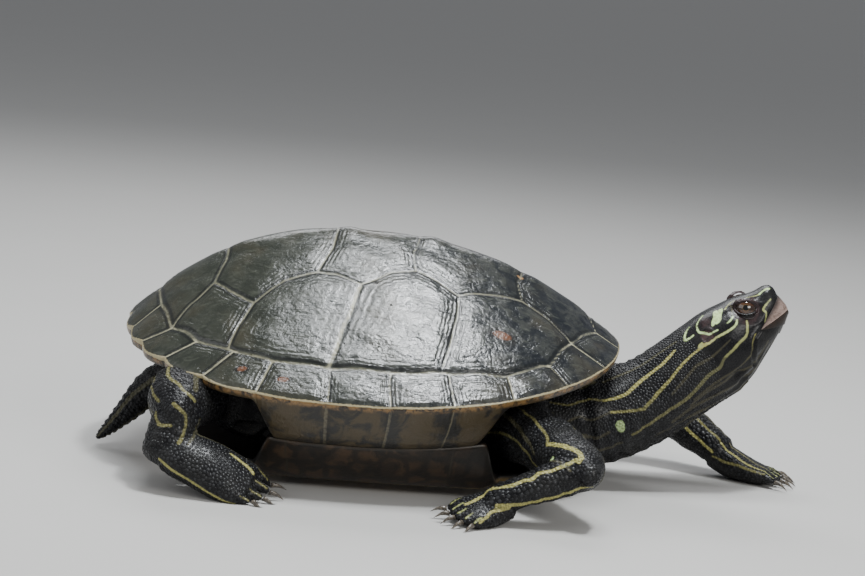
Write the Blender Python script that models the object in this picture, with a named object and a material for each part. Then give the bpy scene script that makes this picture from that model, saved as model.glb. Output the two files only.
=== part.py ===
"""A female map turtle at life size, standing with its head raised, as closed solids for each part.

World frame: +X is the way the animal faces, +Y its left, +Z up, and the floor is z = 0.
Lengths and rows below are in millimetres. MM turns them into metres when a mesh is made.
"""
from math import cos, hypot, radians, sin

import bmesh
import bpy
from mathutils import Matrix, Vector

MM = 0.001
GAP = 0.3                    # clearance between parts that touch
SWELL = 1.15 * GAP           # how far a cutter stands proud of the part it is copied from

# Where the world origin (the middle of the animal's box, on the floor) lies from the shell's middle.
ORIGIN = Vector((38.2, 5.1, 0.0))

# Shell, in its own frame: origin under its middle, on the underside of the plastron.
SHELL_LIFT = 10.2            # height of that origin above the floor
SHELL_LEAN = radians(7.5)    # right side down
SHELL_PITCH = radians(0.7)   # nose up
HALF_WIDTH = 73.3
WIDEST_X = -12.0
FRONT_REACH = 112.0          # from the widest section to the nuchal edge
REAR_REACH = 88.0            # from the widest section to the tail edge
FRONT_POWER = 2.3
REAR_POWER = 2.6
RIM_HEIGHT = 38.6
RIM_RISE_FRONT = 10.0
RIM_RISE_REAR = 5.0
APEX_HEIGHT = 87.3
APEX_X = -5.0
CROWN_DROP_FRONT = 38.7
CROWN_DROP_REAR = 43.3
ROOF_BULGE = 0.15
KEEL_RADIUS = 5.0
SHELL_WALL = 4.2
LIP = 3.0                    # thickness of the free marginal edge
LIP_SLOPE = 0.8              # how far its lower corner is set in
# Sections from the tip of the shell outwards, as shares of the outline, and back along the inner wall.
ROOF_SHARES = (0.03, 0.2, 0.38, 0.56, 0.75, 0.91)
INNER_SHARES = (0.8, 0.5, 0.05)
BRIDGE_FRONT = 44.0
BRIDGE_REAR = -39.0
BRIDGE_FADE = 9.0
BRIDGE_DROP = 15.5           # how much further down the marginals reach at the bridge
BRIDGE_INSET = 5.4
# The marginals' underside: how far in, how far down, and how much of the bridge's drop and inset it takes.
UNDER_RIM = ((LIP_SLOPE, LIP, 1), (5.5, LIP, 0.92), (9.5, 2.2, 0.3))
# Seams between marginal scutes, as degrees round the outline from the nose end.
MARGINAL_SEAMS = (5.5, 24, 41, 57, 71, 83, 92, 107, 123.5, 140, 155, 167.5, 180)
SERRATION = 1.9              # depth of the notches at the rear edge

PLASTRON_FRONT = 89.0
PLASTRON_REAR = -89.0
PLASTRON_WALL = 4.0
PLASTRON_HALF = 51.0
LOBE_INSET = 7.0             # how much narrower its lobes are than its middle
BRIDGE_PART = 0.35           # share of its width that turns up into the bridge
BRIDGE_JOINT = 0.35          # gap between the bridge and the marginals above it
END_CURL = 2.0               # how far its two ends turn up
CURL_START = 70.0
TAIL_NOTCH, NOTCH_HALF, NOTCH_START = 8.0, 18.0, -60.0
LOBE_END = 0.3               # width of the plastron's blunt ends, as a share of its lobes

# The trunk's sections: as shares of the outline under the roof, then with the height of each.
TRUNK_UNDER_ROOF = 7.2
TRUNK_ROOF_SHARES = (0.12, 0.35, 0.6, 0.74)
TRUNK_RIM_SHARE, TRUNK_UNDER_RIM = 0.79, 2.0
TRUNK_SIDES = ((0.77, 24.0), (0.69, 13.0), (0.58, 7.0), (0.3, 5.5))

# Head frame: origin at the tip of the upper beak, +X along the skull towards the snout.
BEAK_TIP = Vector((168.5, 0.0, 79.0))
HEAD_TILT = radians(28.0)
NECK_JOINT = -36.0           # where the head meets the neck, along the skull
MOUTH_CORNER = (-15.2, -1.5)
# Parts of the head, as wedges that open from the mouth corner: degrees above the skull line.
HEAD_WEDGES = {"head": (35, 200), "upper_beak": (6, 35), "lower_beak": (-18, 6), "lower_jaw": (200, 342)}
EYE_RADIUS = 4.6
EYE_PLACE = (-16.8, 6.7, 7.8)   # along the skull, to the side, up

# Routes: x, y, z, half width, reach above, reach below.
NECK = ((68, 0, 22, 24, 19, 17), (86, 0, 25, 23, 19.5, 18.5), (100, 0, 29, 21, 19, 19),
        (115, 0, 36.5, 18.5, 17.7, 17.9), (128, 0, 47, 17, 17.3, 17.6), (141.5, 0, 58.2, 15.4, 18.0, 18.0))
# Skull sections: along, top, bottom, half width.
SKULL = ((NECK_JOINT, 12.2, -24.2, 15.5), (-30, 12.9, -22.8, 15.5), (-24, 13, -20.2, 14.6),
         (-17, 12.3, -15.2, 12.3), (-11, 11.9, -11, 9.8), (-7, 11.6, -8, 8), (-4, 10.5, -5.5, 6.2),
         (-2, 7, -3.2, 4.4), (-0.4, 2.5, -1.6, 2.2))
TAIL = ((-74, -3, 32, 10, 10, 10), (-88, -4, 25, 8, 7.5, 7.5), (-97, -6, 15, 5.8, 5.2, 5.2),
        (-104, -8.5, 7.4, 3.4, 3.2, 3.2), (-109, -10.5, 2.6, 1.4, 1.3, 1.3))

LIMBS = {
    "right_upper_arm": ((56, -30, 27, 14, 12, 13), (66, -50, 26, 13, 11.5, 12), (75, -70, 24.5, 11, 9.5, 10),
                        (80, -82, 23, 9.5, 8.5, 9), (82, -90, 22.5, 5, 5, 5)),
    "right_forearm": ((80, -82, 22.5, 8, 8.5, 8.5), (68, -85, 17.5, 7.5, 7.2, 7.4), (56, -86, 12.5, 7, 6, 6),
                      (47, -86, 8.2, 7.5, 5.4, 6)),
    "left_upper_arm": ((60, 33, 30, 14, 12, 13), (80, 40, 31, 12.5, 11, 12), (100, 44, 32, 11, 10, 10.5),
                       (116, 45, 33, 9.5, 9, 9), (124, 45, 33, 5, 5, 5)),
    "left_forearm": ((117, 44, 32, 8.8, 8.8, 9.2), (129, 41, 25.5, 9, 9.6, 9.6), (141, 36, 18, 9, 8.8, 8.8),
                     (153, 30, 11, 9, 6.8, 7)),
    "right_thigh": ((-62, -28, 34, 15, 13, 14), (-69, -44, 33.5, 14.5, 13, 14), (-74, -58, 32.5, 13, 12, 12.5),
                    (-75, -69, 31, 11, 10.5, 11), (-75, -77, 30.5, 6, 6, 6)),
    "right_shank": ((-74, -70, 30, 9.5, 9.5, 9.5), (-76.5, -73, 22, 9.3, 9.3, 9.3), (-79, -76, 13.5, 8.6, 8.6, 8.6)),
    "left_thigh": ((-62, 28, 41, 15, 13, 14), (-67, 45, 43, 14.5, 13, 14), (-70, 60, 42, 12.5, 12, 12),
                   (-70, 73, 38.5, 11, 10.5, 11), (-70, 81, 37, 6, 6, 6)),
    "left_shank": ((-70, 74, 37, 9.5, 9.5, 9.5), (-76, 78, 26, 9.3, 9.3, 9.3), (-81, 80, 14.5, 8.6, 8.6, 8.6)),
}
# Hands and feet: route as above, then how far the inner side is tipped up, the number of digits, the angle
# over which they spread, and how long they and their claws are.
PAWS = {
    "right_hand": dict(route=((53, -84, 9, 6.6, 5, 6), (47, -86.5, 7, 8.2, 5, 6), (41, -89.5, 5.6, 9.4, 4, 5.4),
                              (36.5, -92, 4.8, 9.4, 3, 4.6)), tip=-22, digits=5, fan=30, digit=4.2, claw=6.0),
    "left_hand": dict(route=((151, 31, 11.5, 7.5, 5.5, 7), (158, 28, 8.5, 9.5, 5.4, 7.4), (166, 25, 6, 11, 4.2, 6),
                             (173, 23, 4.6, 11.3, 3, 4.6)), tip=-6, digits=5, fan=32, digit=6.0, claw=6.5),
    "right_foot": dict(route=((-80, -77.5, 15.5, 6.5, 5.5, 6), (-74, -78, 15.8, 9.5, 7, 7.5),
                              (-64, -79, 13.0, 11, 7.2, 7), (-54, -80.5, 8.6, 11.5, 6.6, 6.2),
                              (-45.5, -81.5, 5.2, 11.5, 4.8, 4.6)),
                       tip=38, digits=4, fan=30, digit=7.0, claw=6.5),
    "left_foot": dict(route=((-88, 76, 8, 5.5, 5, 6.5), (-82, 80, 9, 8.6, 8.5, 9), (-72.5, 87, 8.6, 10, 7.5, 8.6),
                             (-63.5, 93.5, 6.6, 11, 5.4, 6.6), (-57, 98, 4.6, 12, 3.2, 4.6)),
                      tip=-8, digits=4, fan=30, digit=7.0, claw=6.5),
}
DIGIT_RADIUS = 1.9
DIGIT_RINGS = ((0, 1.05), (0.75, 1.12), (1.0, 0.72))   # along the digit, and its radius there as a share
DIGIT_BURIED = 3.0           # length hidden in the palm
DIGIT_ROOT = (-2.5, 0.8, -0.6)   # back, out as a share of the palm's half width, and down
DIGIT_CURVE = -2.5           # how much further back the outermost digits start
DIGIT_REACH, DIGIT_SINK = 2.6, 0.7   # ends higher than this come down by this share of the rest
CLAW_RADIUS = 1.25
CLAW_RINGS = ((0, 1), (0.5, 0.72), (1.0, 0.12))
CLAW_HOOK = 1.6              # how far the claw's tip curves down
SOLE_SINK = 1.0              # how much of each palm and sole is pressed flat
DIGIT_CLEAR = 0.15           # digits and claws end this far off the floor; the palms and soles stand on it

COLOURS = {
    "shell": ((0.055, 0.058, 0.040, 1), 0.25),
    "under_shell": ((0.42, 0.31, 0.15, 1), 0.35),
    "skin": ((0.045, 0.050, 0.038, 1), 0.5),
    "beak": ((0.32, 0.25, 0.20, 1), 0.35),
    "claw": ((0.16, 0.14, 0.12, 1), 0.3),
    "eye": ((0.12, 0.05, 0.02, 1), 0.05),
}


def clear_scene():
    for item in list(bpy.data.objects):
        bpy.data.objects.remove(item, do_unlink=True)


def make_materials():
    made = {}
    for name, (colour, roughness) in COLOURS.items():
        material = bpy.data.materials.new(name)
        material.use_nodes = True
        shader = material.node_tree.nodes["Principled BSDF"]
        shader.inputs["Base Color"].default_value = colour
        shader.inputs["Roughness"].default_value = roughness
        shader.inputs["Metallic"].default_value = 0.0
        made[name] = material
    return made


# ---------------------------------------------------------------- numbers along a smooth line

def blend_rows(rows, t):
    """The row at t, from 0 to 1, on a smooth curve through the rows."""
    last = len(rows) - 1
    step = min(last - 1, int(t * last))
    u = t * last - step
    before, start, end, after = (rows[max(0, min(last, step + k))] for k in (-1, 0, 1, 2))
    return [0.5 * (2 * b + (c - a) * u + (2 * a - 5 * b + 4 * c - d) * u ** 2
                   + (3 * b - a - 3 * c + d) * u ** 3)
            for a, b, c, d in zip(before, start, end, after)]


def smooth_rows(rows, count):
    return [blend_rows(rows, i / (count - 1)) for i in range(count)]


def smoothstep(low, high, value):
    t = max(0.0, min(1.0, (value - low) / (high - low)))
    return t * t * (3 - 2 * t)


# ---------------------------------------------------------------- lofted flesh

def add_ring(bm, frame, half_width, above, below, sides, square=2.2):
    """A closed ring in the frame's YZ plane: Y is its side, Z its top."""
    made = bmesh.ops.create_circle(bm, cap_ends=False, segments=sides, radius=1.0)["verts"]
    for vert in made:
        across, up = -vert.co.y, vert.co.x
        across = half_width * abs(across) ** (2 / square) * (1 if across > 0 else -1)
        up = abs(up) ** (2 / square) * (above if up > 0 else -below)
        vert.co = frame @ Vector((0, across, up))
    return made


def ring_edges(verts):
    inside = set(verts)
    return [e for e in {e for v in verts for e in v.link_edges} if set(e.verts) <= inside]


def bridge(bm, rings):
    """Skins the rings in order and closes both ends, with the faces pointing out."""
    for ring, following in zip(rings, rings[1:]):
        bmesh.ops.bridge_loops(bm, edges=ring_edges(ring) + ring_edges(following))
    for ring in (rings[0], rings[-1]):
        bmesh.ops.contextual_create(bm, geom=ring_edges(ring))
    bmesh.ops.recalc_face_normals(bm, faces=bm.faces)


def route_frames(rows, hint):
    """A frame on each row's centre, its X along the route and its Z kept near the hint."""
    centres = [Vector(row[:3]) for row in rows]
    up = Vector(hint)
    frames = []
    for i, centre in enumerate(centres):
        ahead = (centres[min(i + 1, len(rows) - 1)] - centres[max(i - 1, 0)]).normalized()
        up = (up - ahead * up.dot(ahead)).normalized()
        side = up.cross(ahead)
        turn = Matrix((ahead, side, up)).transposed().to_4x4()
        frames.append(Matrix.Translation(centre) @ turn)
    return frames


def loft(rows, count, sides, hint=(0, 0, 1), tip=0.0):
    """A closed tube along the rows; tip rolls it about its own line, in degrees."""
    bm = bmesh.new()
    rows = smooth_rows(rows, count)
    roll = Matrix.Rotation(radians(tip), 4, "X")
    rings = [add_ring(bm, frame @ roll, row[3], row[4], row[5], sides)
             for row, frame in zip(rows, route_frames(rows, hint))]
    bridge(bm, rings)
    return bm


def stand_on_floor(bm, clear=0.0):
    """Flattens what would reach under the floor, or nearer to it than the clearance."""
    for vert in bm.verts:
        vert.co.z = max(vert.co.z, clear)


# ---------------------------------------------------------------- shell surfaces

def outline_point(angle):
    """The rim seen from above, at degrees from the nose end; negative degrees are the right side."""
    c, s = cos(radians(angle)), sin(radians(angle))
    reach, power = (FRONT_REACH, FRONT_POWER) if c > 0 else (REAR_REACH, REAR_POWER)
    return Vector((WIDEST_X + (1 if c > 0 else -1) * reach * abs(c) ** (2 / power), HALF_WIDTH * s, 0))


def half_width_at(x):
    reach, power = (FRONT_REACH, FRONT_POWER) if x > WIDEST_X else (REAR_REACH, REAR_POWER)
    return HALF_WIDTH * max(1e-6, 1 - min(1.0, abs(x - WIDEST_X) / reach) ** power) ** 0.5


def rim_height(x):
    return RIM_HEIGHT + (RIM_RISE_FRONT if x > 0 else RIM_RISE_REAR) * (x / 100) ** 2


def crown_height(x):
    if x > APEX_X:
        return APEX_HEIGHT - CROWN_DROP_FRONT * ((x - APEX_X) / 105) ** 2.2
    return APEX_HEIGHT - CROWN_DROP_REAR * ((APEX_X - x) / 95) ** 2.5


def roof_height(x, y):
    """Height of the carapace's outer surface."""
    away = hypot(y, KEEL_RADIUS) - KEEL_RADIUS
    t = min(1.0, away / max(1e-3, hypot(half_width_at(x), KEEL_RADIUS) - KEEL_RADIUS))
    low = rim_height(x)
    return low + max(0.0, crown_height(x) - low) * (1 - t) * (1 + ROOF_BULGE * t)


def bridge_share(x):
    """1 along the bridge, 0 at the leg openings."""
    return smoothstep(BRIDGE_REAR - BRIDGE_FADE, BRIDGE_REAR, x) * smoothstep(BRIDGE_FRONT + BRIDGE_FADE,
                                                                            BRIDGE_FRONT, x)


def rim_angles():
    """Every seam and the middle of every marginal, once round."""
    half = [0.0]
    for seam, following in zip((-5.5,) + MARGINAL_SEAMS, MARGINAL_SEAMS):
        half += [(seam + following) / 2, following]
    half = sorted({a for a in half if 0 <= a <= 180})
    return half + [-a for a in reversed(half) if 0 < a < 180]


def notch(angle):
    """How far a seam's end is set in, growing towards the tail; a scute's middle isn't."""
    at_seam = any(abs(abs(angle) - seam) < 0.01 for seam in MARGINAL_SEAMS)
    return SERRATION * smoothstep(95, 135, abs(angle)) if at_seam else 0.0


def inset_point(angle, inset):
    rim = outline_point(angle)
    centre = Vector((WIDEST_X, 0, 0))
    away = rim - centre
    return centre + away * max(0.0, 1 - inset / away.length)


def shrink_point(angle, share):
    centre = Vector((WIDEST_X, 0, 0))
    return centre + (outline_point(angle) - centre) * share


def ring_from(bm, angles, place):
    made = bmesh.ops.create_circle(bm, cap_ends=False, segments=len(angles), radius=1.0)["verts"]
    for vert, angle in zip(made, angles):
        vert.co = place(angle)
    return made


def carapace_mesh():
    """The upper shell: roof, rim, the marginals' underside and an inner wall."""
    angles = rim_angles()

    def roof(share, drop):
        def place(angle):
            p = shrink_point(angle, share)
            return Vector((p.x, p.y, roof_height(p.x, p.y) - drop))
        return place

    def edge(inset, low, at_bridge):
        def place(angle):
            share = bridge_share(outline_point(angle).x)
            p = inset_point(angle, inset + BRIDGE_INSET * at_bridge * share + notch(angle))
            return Vector((p.x, p.y, rim_height(p.x) - low - BRIDGE_DROP * at_bridge * share))
        return place

    places = [roof(share, 0) for share in ROOF_SHARES]
    places += [edge(0, 0, 0)] + [edge(*row) for row in UNDER_RIM]
    places += [roof(share, SHELL_WALL) for share in INNER_SHARES]
    bm = bmesh.new()
    bridge(bm, [ring_from(bm, angles, place) for place in places])
    return bm


def plastron_section(x, across):
    """Underside of the plastron at a place across it, from -1 to 1: y, z and how far it has climbed."""
    along = (x - PLASTRON_REAR) / (PLASTRON_FRONT - PLASTRON_REAR)
    lobe = max(LOBE_END, (1 - abs(2 * along - 1) ** 5) ** 0.5)
    share = bridge_share(x)
    plate = (PLASTRON_HALF - LOBE_INSET * (1 - share)) * lobe
    flat = 1 - BRIDGE_PART * share
    y, climb = plate * min(1.0, abs(across) / flat), 0.0
    z = END_CURL * smoothstep(CURL_START, PLASTRON_FRONT, abs(x))
    if abs(across) > flat:
        climb = share * (abs(across) - flat) / (1 - flat)
        y += (half_width_at(x) - BRIDGE_INSET - LIP_SLOPE - BRIDGE_JOINT - plate) * climb ** 0.8
        z += (rim_height(x) - LIP - BRIDGE_DROP - BRIDGE_JOINT) * climb ** 1.5
    return (y if across > 0 else -y), z, climb


def plastron_mesh():
    """The lower shell: a plate with a notched tail end, rising at both sides into the bridges."""
    columns, stations = 11, 17
    bm = bmesh.new()
    rings = []
    for i in range(stations):
        x = PLASTRON_REAR + (PLASTRON_FRONT - PLASTRON_REAR) * i / (stations - 1)
        ring = bmesh.ops.create_circle(bm, cap_ends=False, segments=2 * columns, radius=1.0)["verts"]
        for k, vert in enumerate(ring):
            on_top = k >= columns
            across = 2 * (k if not on_top else 2 * columns - 1 - k) / (columns - 1) - 1
            y, z, climb = plastron_section(x, across)
            if on_top:
                y -= (1 if across > 0 else -1) * 0.85 * PLASTRON_WALL * climb
                z += PLASTRON_WALL * (1 - climb)
            near_middle = 1 - smoothstep(0, NOTCH_HALF, abs(y))
            notch_depth = TAIL_NOTCH * smoothstep(NOTCH_START, PLASTRON_REAR, x) * near_middle
            vert.co = Vector((x + notch_depth, y, z))
        rings.append(ring)
    bridge(bm, rings)
    return bm


def trunk_mesh():
    """The body that fills the shell and shows as skin in the openings for neck, legs and tail."""
    angles = rim_angles()[::2]

    def place_at(share, height):
        def place(angle):
            p = shrink_point(angle, share)
            return Vector((p.x, p.y, height(p)))
        return place

    places = [place_at(share, lambda p: roof_height(p.x, p.y) - TRUNK_UNDER_ROOF)
              for share in TRUNK_ROOF_SHARES]
    places.append(place_at(TRUNK_RIM_SHARE, lambda p: rim_height(p.x) - TRUNK_UNDER_RIM))
    places += [place_at(share, lambda p, height=height: height) for share, height in TRUNK_SIDES]
    bm = bmesh.new()
    bridge(bm, [ring_from(bm, angles, place) for place in places])
    return bm


def shell_frame():
    return (Matrix.Translation((0, 0, SHELL_LIFT)) @ Matrix.Rotation(-SHELL_PITCH, 4, "Y")
            @ Matrix.Rotation(SHELL_LEAN, 4, "X"))


# ---------------------------------------------------------------- objects

def make_object(name, bm, material):
    """Turns a mesh in millimetres into an object in metres, round the animal's own origin."""
    bmesh.ops.triangulate(bm, faces=bm.faces)
    bmesh.ops.translate(bm, vec=-ORIGIN, verts=bm.verts)
    bmesh.ops.scale(bm, vec=(MM, MM, MM), verts=bm.verts)
    mesh = bpy.data.meshes.new(name)
    bm.to_mesh(mesh)
    bm.free()
    mesh.materials.append(material)
    mesh.shade_smooth()
    item = bpy.data.objects.new(name, mesh)
    bpy.context.scene.collection.objects.link(item)
    return item


def hide_tool(item):
    item.hide_render = True
    item.display_type = "WIRE"
    return item


def swollen_copy(item, swell=SWELL):
    """A hidden cutter: the part's mesh with every corner moved out by the clearance."""
    bm = bmesh.new()
    bm.from_mesh(item.data)
    bm.normal_update()
    for vert, normal in [(v, v.normal.copy()) for v in bm.verts]:
        vert.co += normal * swell * MM
    mesh = bpy.data.meshes.new(item.name + "_cutter")
    bm.to_mesh(mesh)
    bm.free()
    cutter = bpy.data.objects.new(item.name + "_cutter", mesh)
    bpy.context.scene.collection.objects.link(cutter)
    return hide_tool(cutter)


def boolean(item, tool, operation="DIFFERENCE"):
    step = item.modifiers.new(operation.lower() + "_" + tool.name, "BOOLEAN")
    step.operation = operation
    step.object = tool
    step.solver = "EXACT"
    step.use_self = operation == "UNION"


def head_frame():
    return Matrix.Translation(BEAK_TIP) @ Matrix.Rotation(-HEAD_TILT, 4, "Y")


def head_mesh(count):
    """The whole head, with its throat, in the world frame."""
    bm = bmesh.new()
    rings = []
    for row in smooth_rows(SKULL, count):
        x, top, bottom, half = row
        middle = (top + bottom) / 2 + 0.1 * (top - bottom)
        frame = head_frame() @ Matrix.Translation((x, 0, middle))
        rings.append(add_ring(bm, frame, half, top - middle, middle - bottom, 20))
    bridge(bm, rings)
    return bm


def wedge_mesh(first, second, reach=60.0, half=30.0):
    """A block that opens from a line across the mouth corner, between two angles above the skull line."""
    bm = bmesh.new()
    middle, spread = radians((first + second) / 2), radians(second - first) / 2
    corner = Vector((MOUTH_CORNER[0], 0, MOUTH_CORNER[1]))
    corner += Vector((cos(middle), 0, sin(middle))) * (GAP / 2 / sin(spread))
    steps = 1 + (second - first) // 91      # no face of the block opens by more than a quarter turn
    angles = [middle - spread + 2 * spread * i / steps for i in range(steps + 1)]
    far = [corner + reach * Vector((cos(a), 0, sin(a))) for a in angles]
    profile = [bm.verts.new(head_frame() @ (p - Vector((0, half, 0)))) for p in (corner, *far)]
    side = bm.faces.new(profile)
    moved = bmesh.ops.extrude_face_region(bm, geom=[side])["geom"]
    moved = [g for g in moved if isinstance(g, bmesh.types.BMVert)]
    bmesh.ops.translate(bm, vec=Vector((0, 2 * half, 0)), verts=moved)
    bmesh.ops.recalc_face_normals(bm, faces=bm.faces)
    return bm


def paw_parts(name, paw, skin, claw_material):
    """A hand or foot with its digits joined on, and its claws as parts of their own."""
    palm = loft(paw["route"], 7, 12, tip=paw["tip"])
    bmesh.ops.translate(palm, vec=Vector((0, 0, -SOLE_SINK)), verts=palm.verts)
    stand_on_floor(palm)
    body = make_object(name, palm, skin)

    rows = smooth_rows(paw["route"], 9)
    last, frame = rows[-1], route_frames(rows, (0, 0, 1))[-1] @ Matrix.Rotation(radians(paw["tip"]), 4, "X")
    digits = bmesh.new()
    for i in range(paw["digits"]):
        across = 2 * (i + 0.5) / paw["digits"] - 1
        turn = Matrix.Rotation(radians(paw["fan"] * across), 4, "Z")
        back, out, down = DIGIT_ROOT
        start = (back + DIGIT_CURVE * across ** 2, out * last[3] * across, down)
        root = frame @ Matrix.Translation(start) @ turn
        stretch = paw["digit"] + DIGIT_BURIED
        height = (root @ Vector((stretch, 0, 0))).z
        lift = max(0.0, DIGIT_RADIUS - height)
        sink = max(0.0, height - DIGIT_REACH) * DIGIT_SINK
        rings = []
        for along, radius in DIGIT_RINGS:
            centre = root @ Matrix.Translation((stretch * along, 0, 0))
            shift = Matrix.Translation((0, 0, (lift - sink) * along ** 2))
            rings.append(add_ring(digits, shift @ centre, *(DIGIT_RADIUS * radius,) * 3, 6, 2.0))
        part = bmesh.new()
        tip = shift @ centre @ Matrix.Translation((GAP, 0, 0))
        claw_rings = []
        for along, radius in CLAW_RINGS:
            place = tip @ Matrix.Translation((paw["claw"] * along, 0, -CLAW_HOOK * along ** 2))
            claw_rings.append(add_ring(part, place, *(CLAW_RADIUS * radius,) * 3, 6, 2.0))
        bridge(part, claw_rings)
        stand_on_floor(part, DIGIT_CLEAR)
        make_object(f"{name}_claw_{i + 1}", part, claw_material)
        for ring, following in zip(rings, rings[1:]):
            bmesh.ops.bridge_loops(digits, edges=ring_edges(ring) + ring_edges(following))
        for ring in (rings[0], rings[-1]):
            bmesh.ops.contextual_create(digits, geom=ring_edges(ring))
    bmesh.ops.recalc_face_normals(digits, faces=digits.faces)
    stand_on_floor(digits, DIGIT_CLEAR)
    boolean(body, hide_tool(make_object(name + "_digits", digits, skin)), "UNION")
    return body


def main():
    """Builds every part, then cuts each where another runs through it."""
    clear_scene()
    materials = make_materials()
    skin = materials["skin"]
    shell_place = shell_frame()

    shell_parts = {}
    for name, mesh, material in (("carapace", carapace_mesh(), "shell"), ("trunk", trunk_mesh(), "skin"),
                                 ("plastron", plastron_mesh(), "under_shell")):
        bmesh.ops.transform(mesh, matrix=shell_place, verts=mesh.verts)
        shell_parts[name] = make_object(name, mesh, materials[material])
    shell_cutters = [swollen_copy(shell_parts[name]) for name in ("carapace", "plastron", "trunk")]

    neck = make_object("neck", loft(NECK, 8, 18), skin)
    tail = make_object("tail", loft(TAIL, 9, 12), skin)
    limbs = {name: make_object(name, loft(rows, 6, 12, (1, 0, 0) if "shank" in name else (0, 0, 1)), skin)
             for name, rows in LIMBS.items()}
    paws = {name: paw_parts(name, paw, skin, materials["claw"]) for name, paw in PAWS.items()}
    for item in [neck, tail, *limbs.values()]:
        for cutter in shell_cutters:
            boolean(item, cutter)
    neck_cutter, tail_cutter = swollen_copy(neck), swollen_copy(tail)
    for side in ("right", "left"):
        boolean(limbs[f"{side}_upper_arm"], neck_cutter)
        boolean(limbs[f"{side}_thigh"], tail_cutter)
        for upper, lower, end in (("upper_arm", "forearm", "hand"), ("thigh", "shank", "foot")):
            upper_cutter = swollen_copy(limbs[f"{side}_{upper}"])
            boolean(limbs[f"{side}_{lower}"], upper_cutter)
            boolean(paws[f"{side}_{end}"], upper_cutter)
            boolean(paws[f"{side}_{end}"], swollen_copy(limbs[f"{side}_{lower}"]))

    whole_head = hide_tool(make_object("whole_head", head_mesh(13), skin))
    boolean(neck, swollen_copy(whole_head))
    head_parts = {}
    for name, spread in HEAD_WEDGES.items():
        finish = materials["beak"] if "beak" in name else skin
        head_parts[name] = make_object(name, head_mesh(13), finish)
        wedge = make_object(name + "_wedge", wedge_mesh(*spread), finish)
        boolean(head_parts[name], hide_tool(wedge), "INTERSECT")
    for side, sign in (("right", -1), ("left", 1)):
        bm = bmesh.new()
        along, across, up = EYE_PLACE
        place = head_frame() @ Matrix.Translation((along, sign * across, up))
        bmesh.ops.create_uvsphere(bm, u_segments=12, v_segments=7, radius=EYE_RADIUS, matrix=place)
        eye = make_object(side + "_eye", bm, materials["eye"])
        boolean(head_parts["head"], swollen_copy(eye))


main()
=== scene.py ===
"""A female map turtle at life size, standing with its head raised: the finished outside of the model.

Lengths and places are in millimetres, as the part's solids have them, until a mesh is put in place.
World frame: +X is the way the animal faces, +Y its left, +Z up, and the floor is z = 0.
"""

from itertools import product
from math import cos, pi, radians, sin

import bmesh
import bpy
import numpy as np
from mathutils import Matrix, Vector
from mathutils.bvhtree import BVHTree
from mathutils.kdtree import KDTree


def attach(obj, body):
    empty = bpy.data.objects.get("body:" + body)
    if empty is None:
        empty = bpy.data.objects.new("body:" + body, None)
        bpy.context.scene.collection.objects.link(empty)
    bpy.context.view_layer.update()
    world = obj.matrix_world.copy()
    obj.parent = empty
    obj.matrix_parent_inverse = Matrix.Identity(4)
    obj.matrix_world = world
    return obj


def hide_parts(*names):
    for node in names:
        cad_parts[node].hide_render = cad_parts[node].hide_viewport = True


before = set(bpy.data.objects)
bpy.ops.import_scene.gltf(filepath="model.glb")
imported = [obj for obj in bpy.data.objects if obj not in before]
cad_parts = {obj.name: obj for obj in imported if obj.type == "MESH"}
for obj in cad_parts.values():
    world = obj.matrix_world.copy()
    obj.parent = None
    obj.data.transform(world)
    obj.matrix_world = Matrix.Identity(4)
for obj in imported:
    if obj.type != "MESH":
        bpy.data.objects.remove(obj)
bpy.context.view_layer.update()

MM = 0.001
ORIGIN = Vector((38.2, 5.1, 0.0))        # the solids' own origin, from the middle of the shell

# ---------------------------------------------------------------- shell sizes, as in the solids
SHELL_LIFT = 10.2
SHELL_LEAN = radians(7.5)
SHELL_PITCH = radians(0.7)
HALF_WIDTH = 73.3
WIDEST_X = -12.0
FRONT_REACH, FRONT_POWER = 112.0, 2.3
REAR_REACH, REAR_POWER = 88.0, 2.6
RIM_HEIGHT, RIM_RISE_FRONT, RIM_RISE_REAR = 38.6, 10.0, 5.0
APEX_HEIGHT, APEX_X = 87.3, -5.0
CROWN_DROP_FRONT, CROWN_DROP_REAR = 38.7, 43.3
ROOF_BULGE = 0.15
KEEL_RADIUS = 5.0
SHELL_WALL = 4.2
LIP = 3.0
LIP_SLOPE = 0.8
BRIDGE_FRONT, BRIDGE_REAR, BRIDGE_FADE = 44.0, -39.0, 9.0
BRIDGE_DROP, BRIDGE_INSET = 15.5, 5.4
MARGINAL_SEAMS = (5.5, 24, 41, 57, 71, 83, 92, 107, 123.5, 140, 155, 167.5, 180)
SERRATION = 1.9
PLASTRON_FRONT, PLASTRON_REAR = 89.0, -89.0
PLASTRON_WALL = 4.0
PLASTRON_HALF = 51.0
LOBE_INSET, BRIDGE_PART, BRIDGE_JOINT = 7.0, 0.35, 0.35
END_CURL = 2.0
TAIL_NOTCH = 8.0
LOBE_END = 0.3

# The upper shell's edge, in steps from the roof down and round to the inside: how far it is set in and how far
# down, and what the bridges add to each.
LIP_TURNS = (0.07, 0.18, 0.32, 0.5, 0.68, 0.85, 1.0)
EDGE_STEPS = (*((LIP_SLOPE * q * q, LIP * q, BRIDGE_INSET * (0.35 * q + 0.65 * q * q), BRIDGE_DROP * q)
                for q in LIP_TURNS),
              (2.4, LIP + 0.2, BRIDGE_INSET * 0.97, BRIDGE_DROP * 0.98),
              (5.5, LIP, BRIDGE_INSET * 0.92, BRIDGE_DROP * 0.92),
              (9.5, 2.2, BRIDGE_INSET * 0.3, BRIDGE_DROP * 0.3))
INNER_SHARES = (0.8, 0.5, 0.05)          # the inner wall's rings, as shares of the way out to the rim
FAR_INSIDE = 20.0                        # the edge measure of all that lies past the lip

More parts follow.
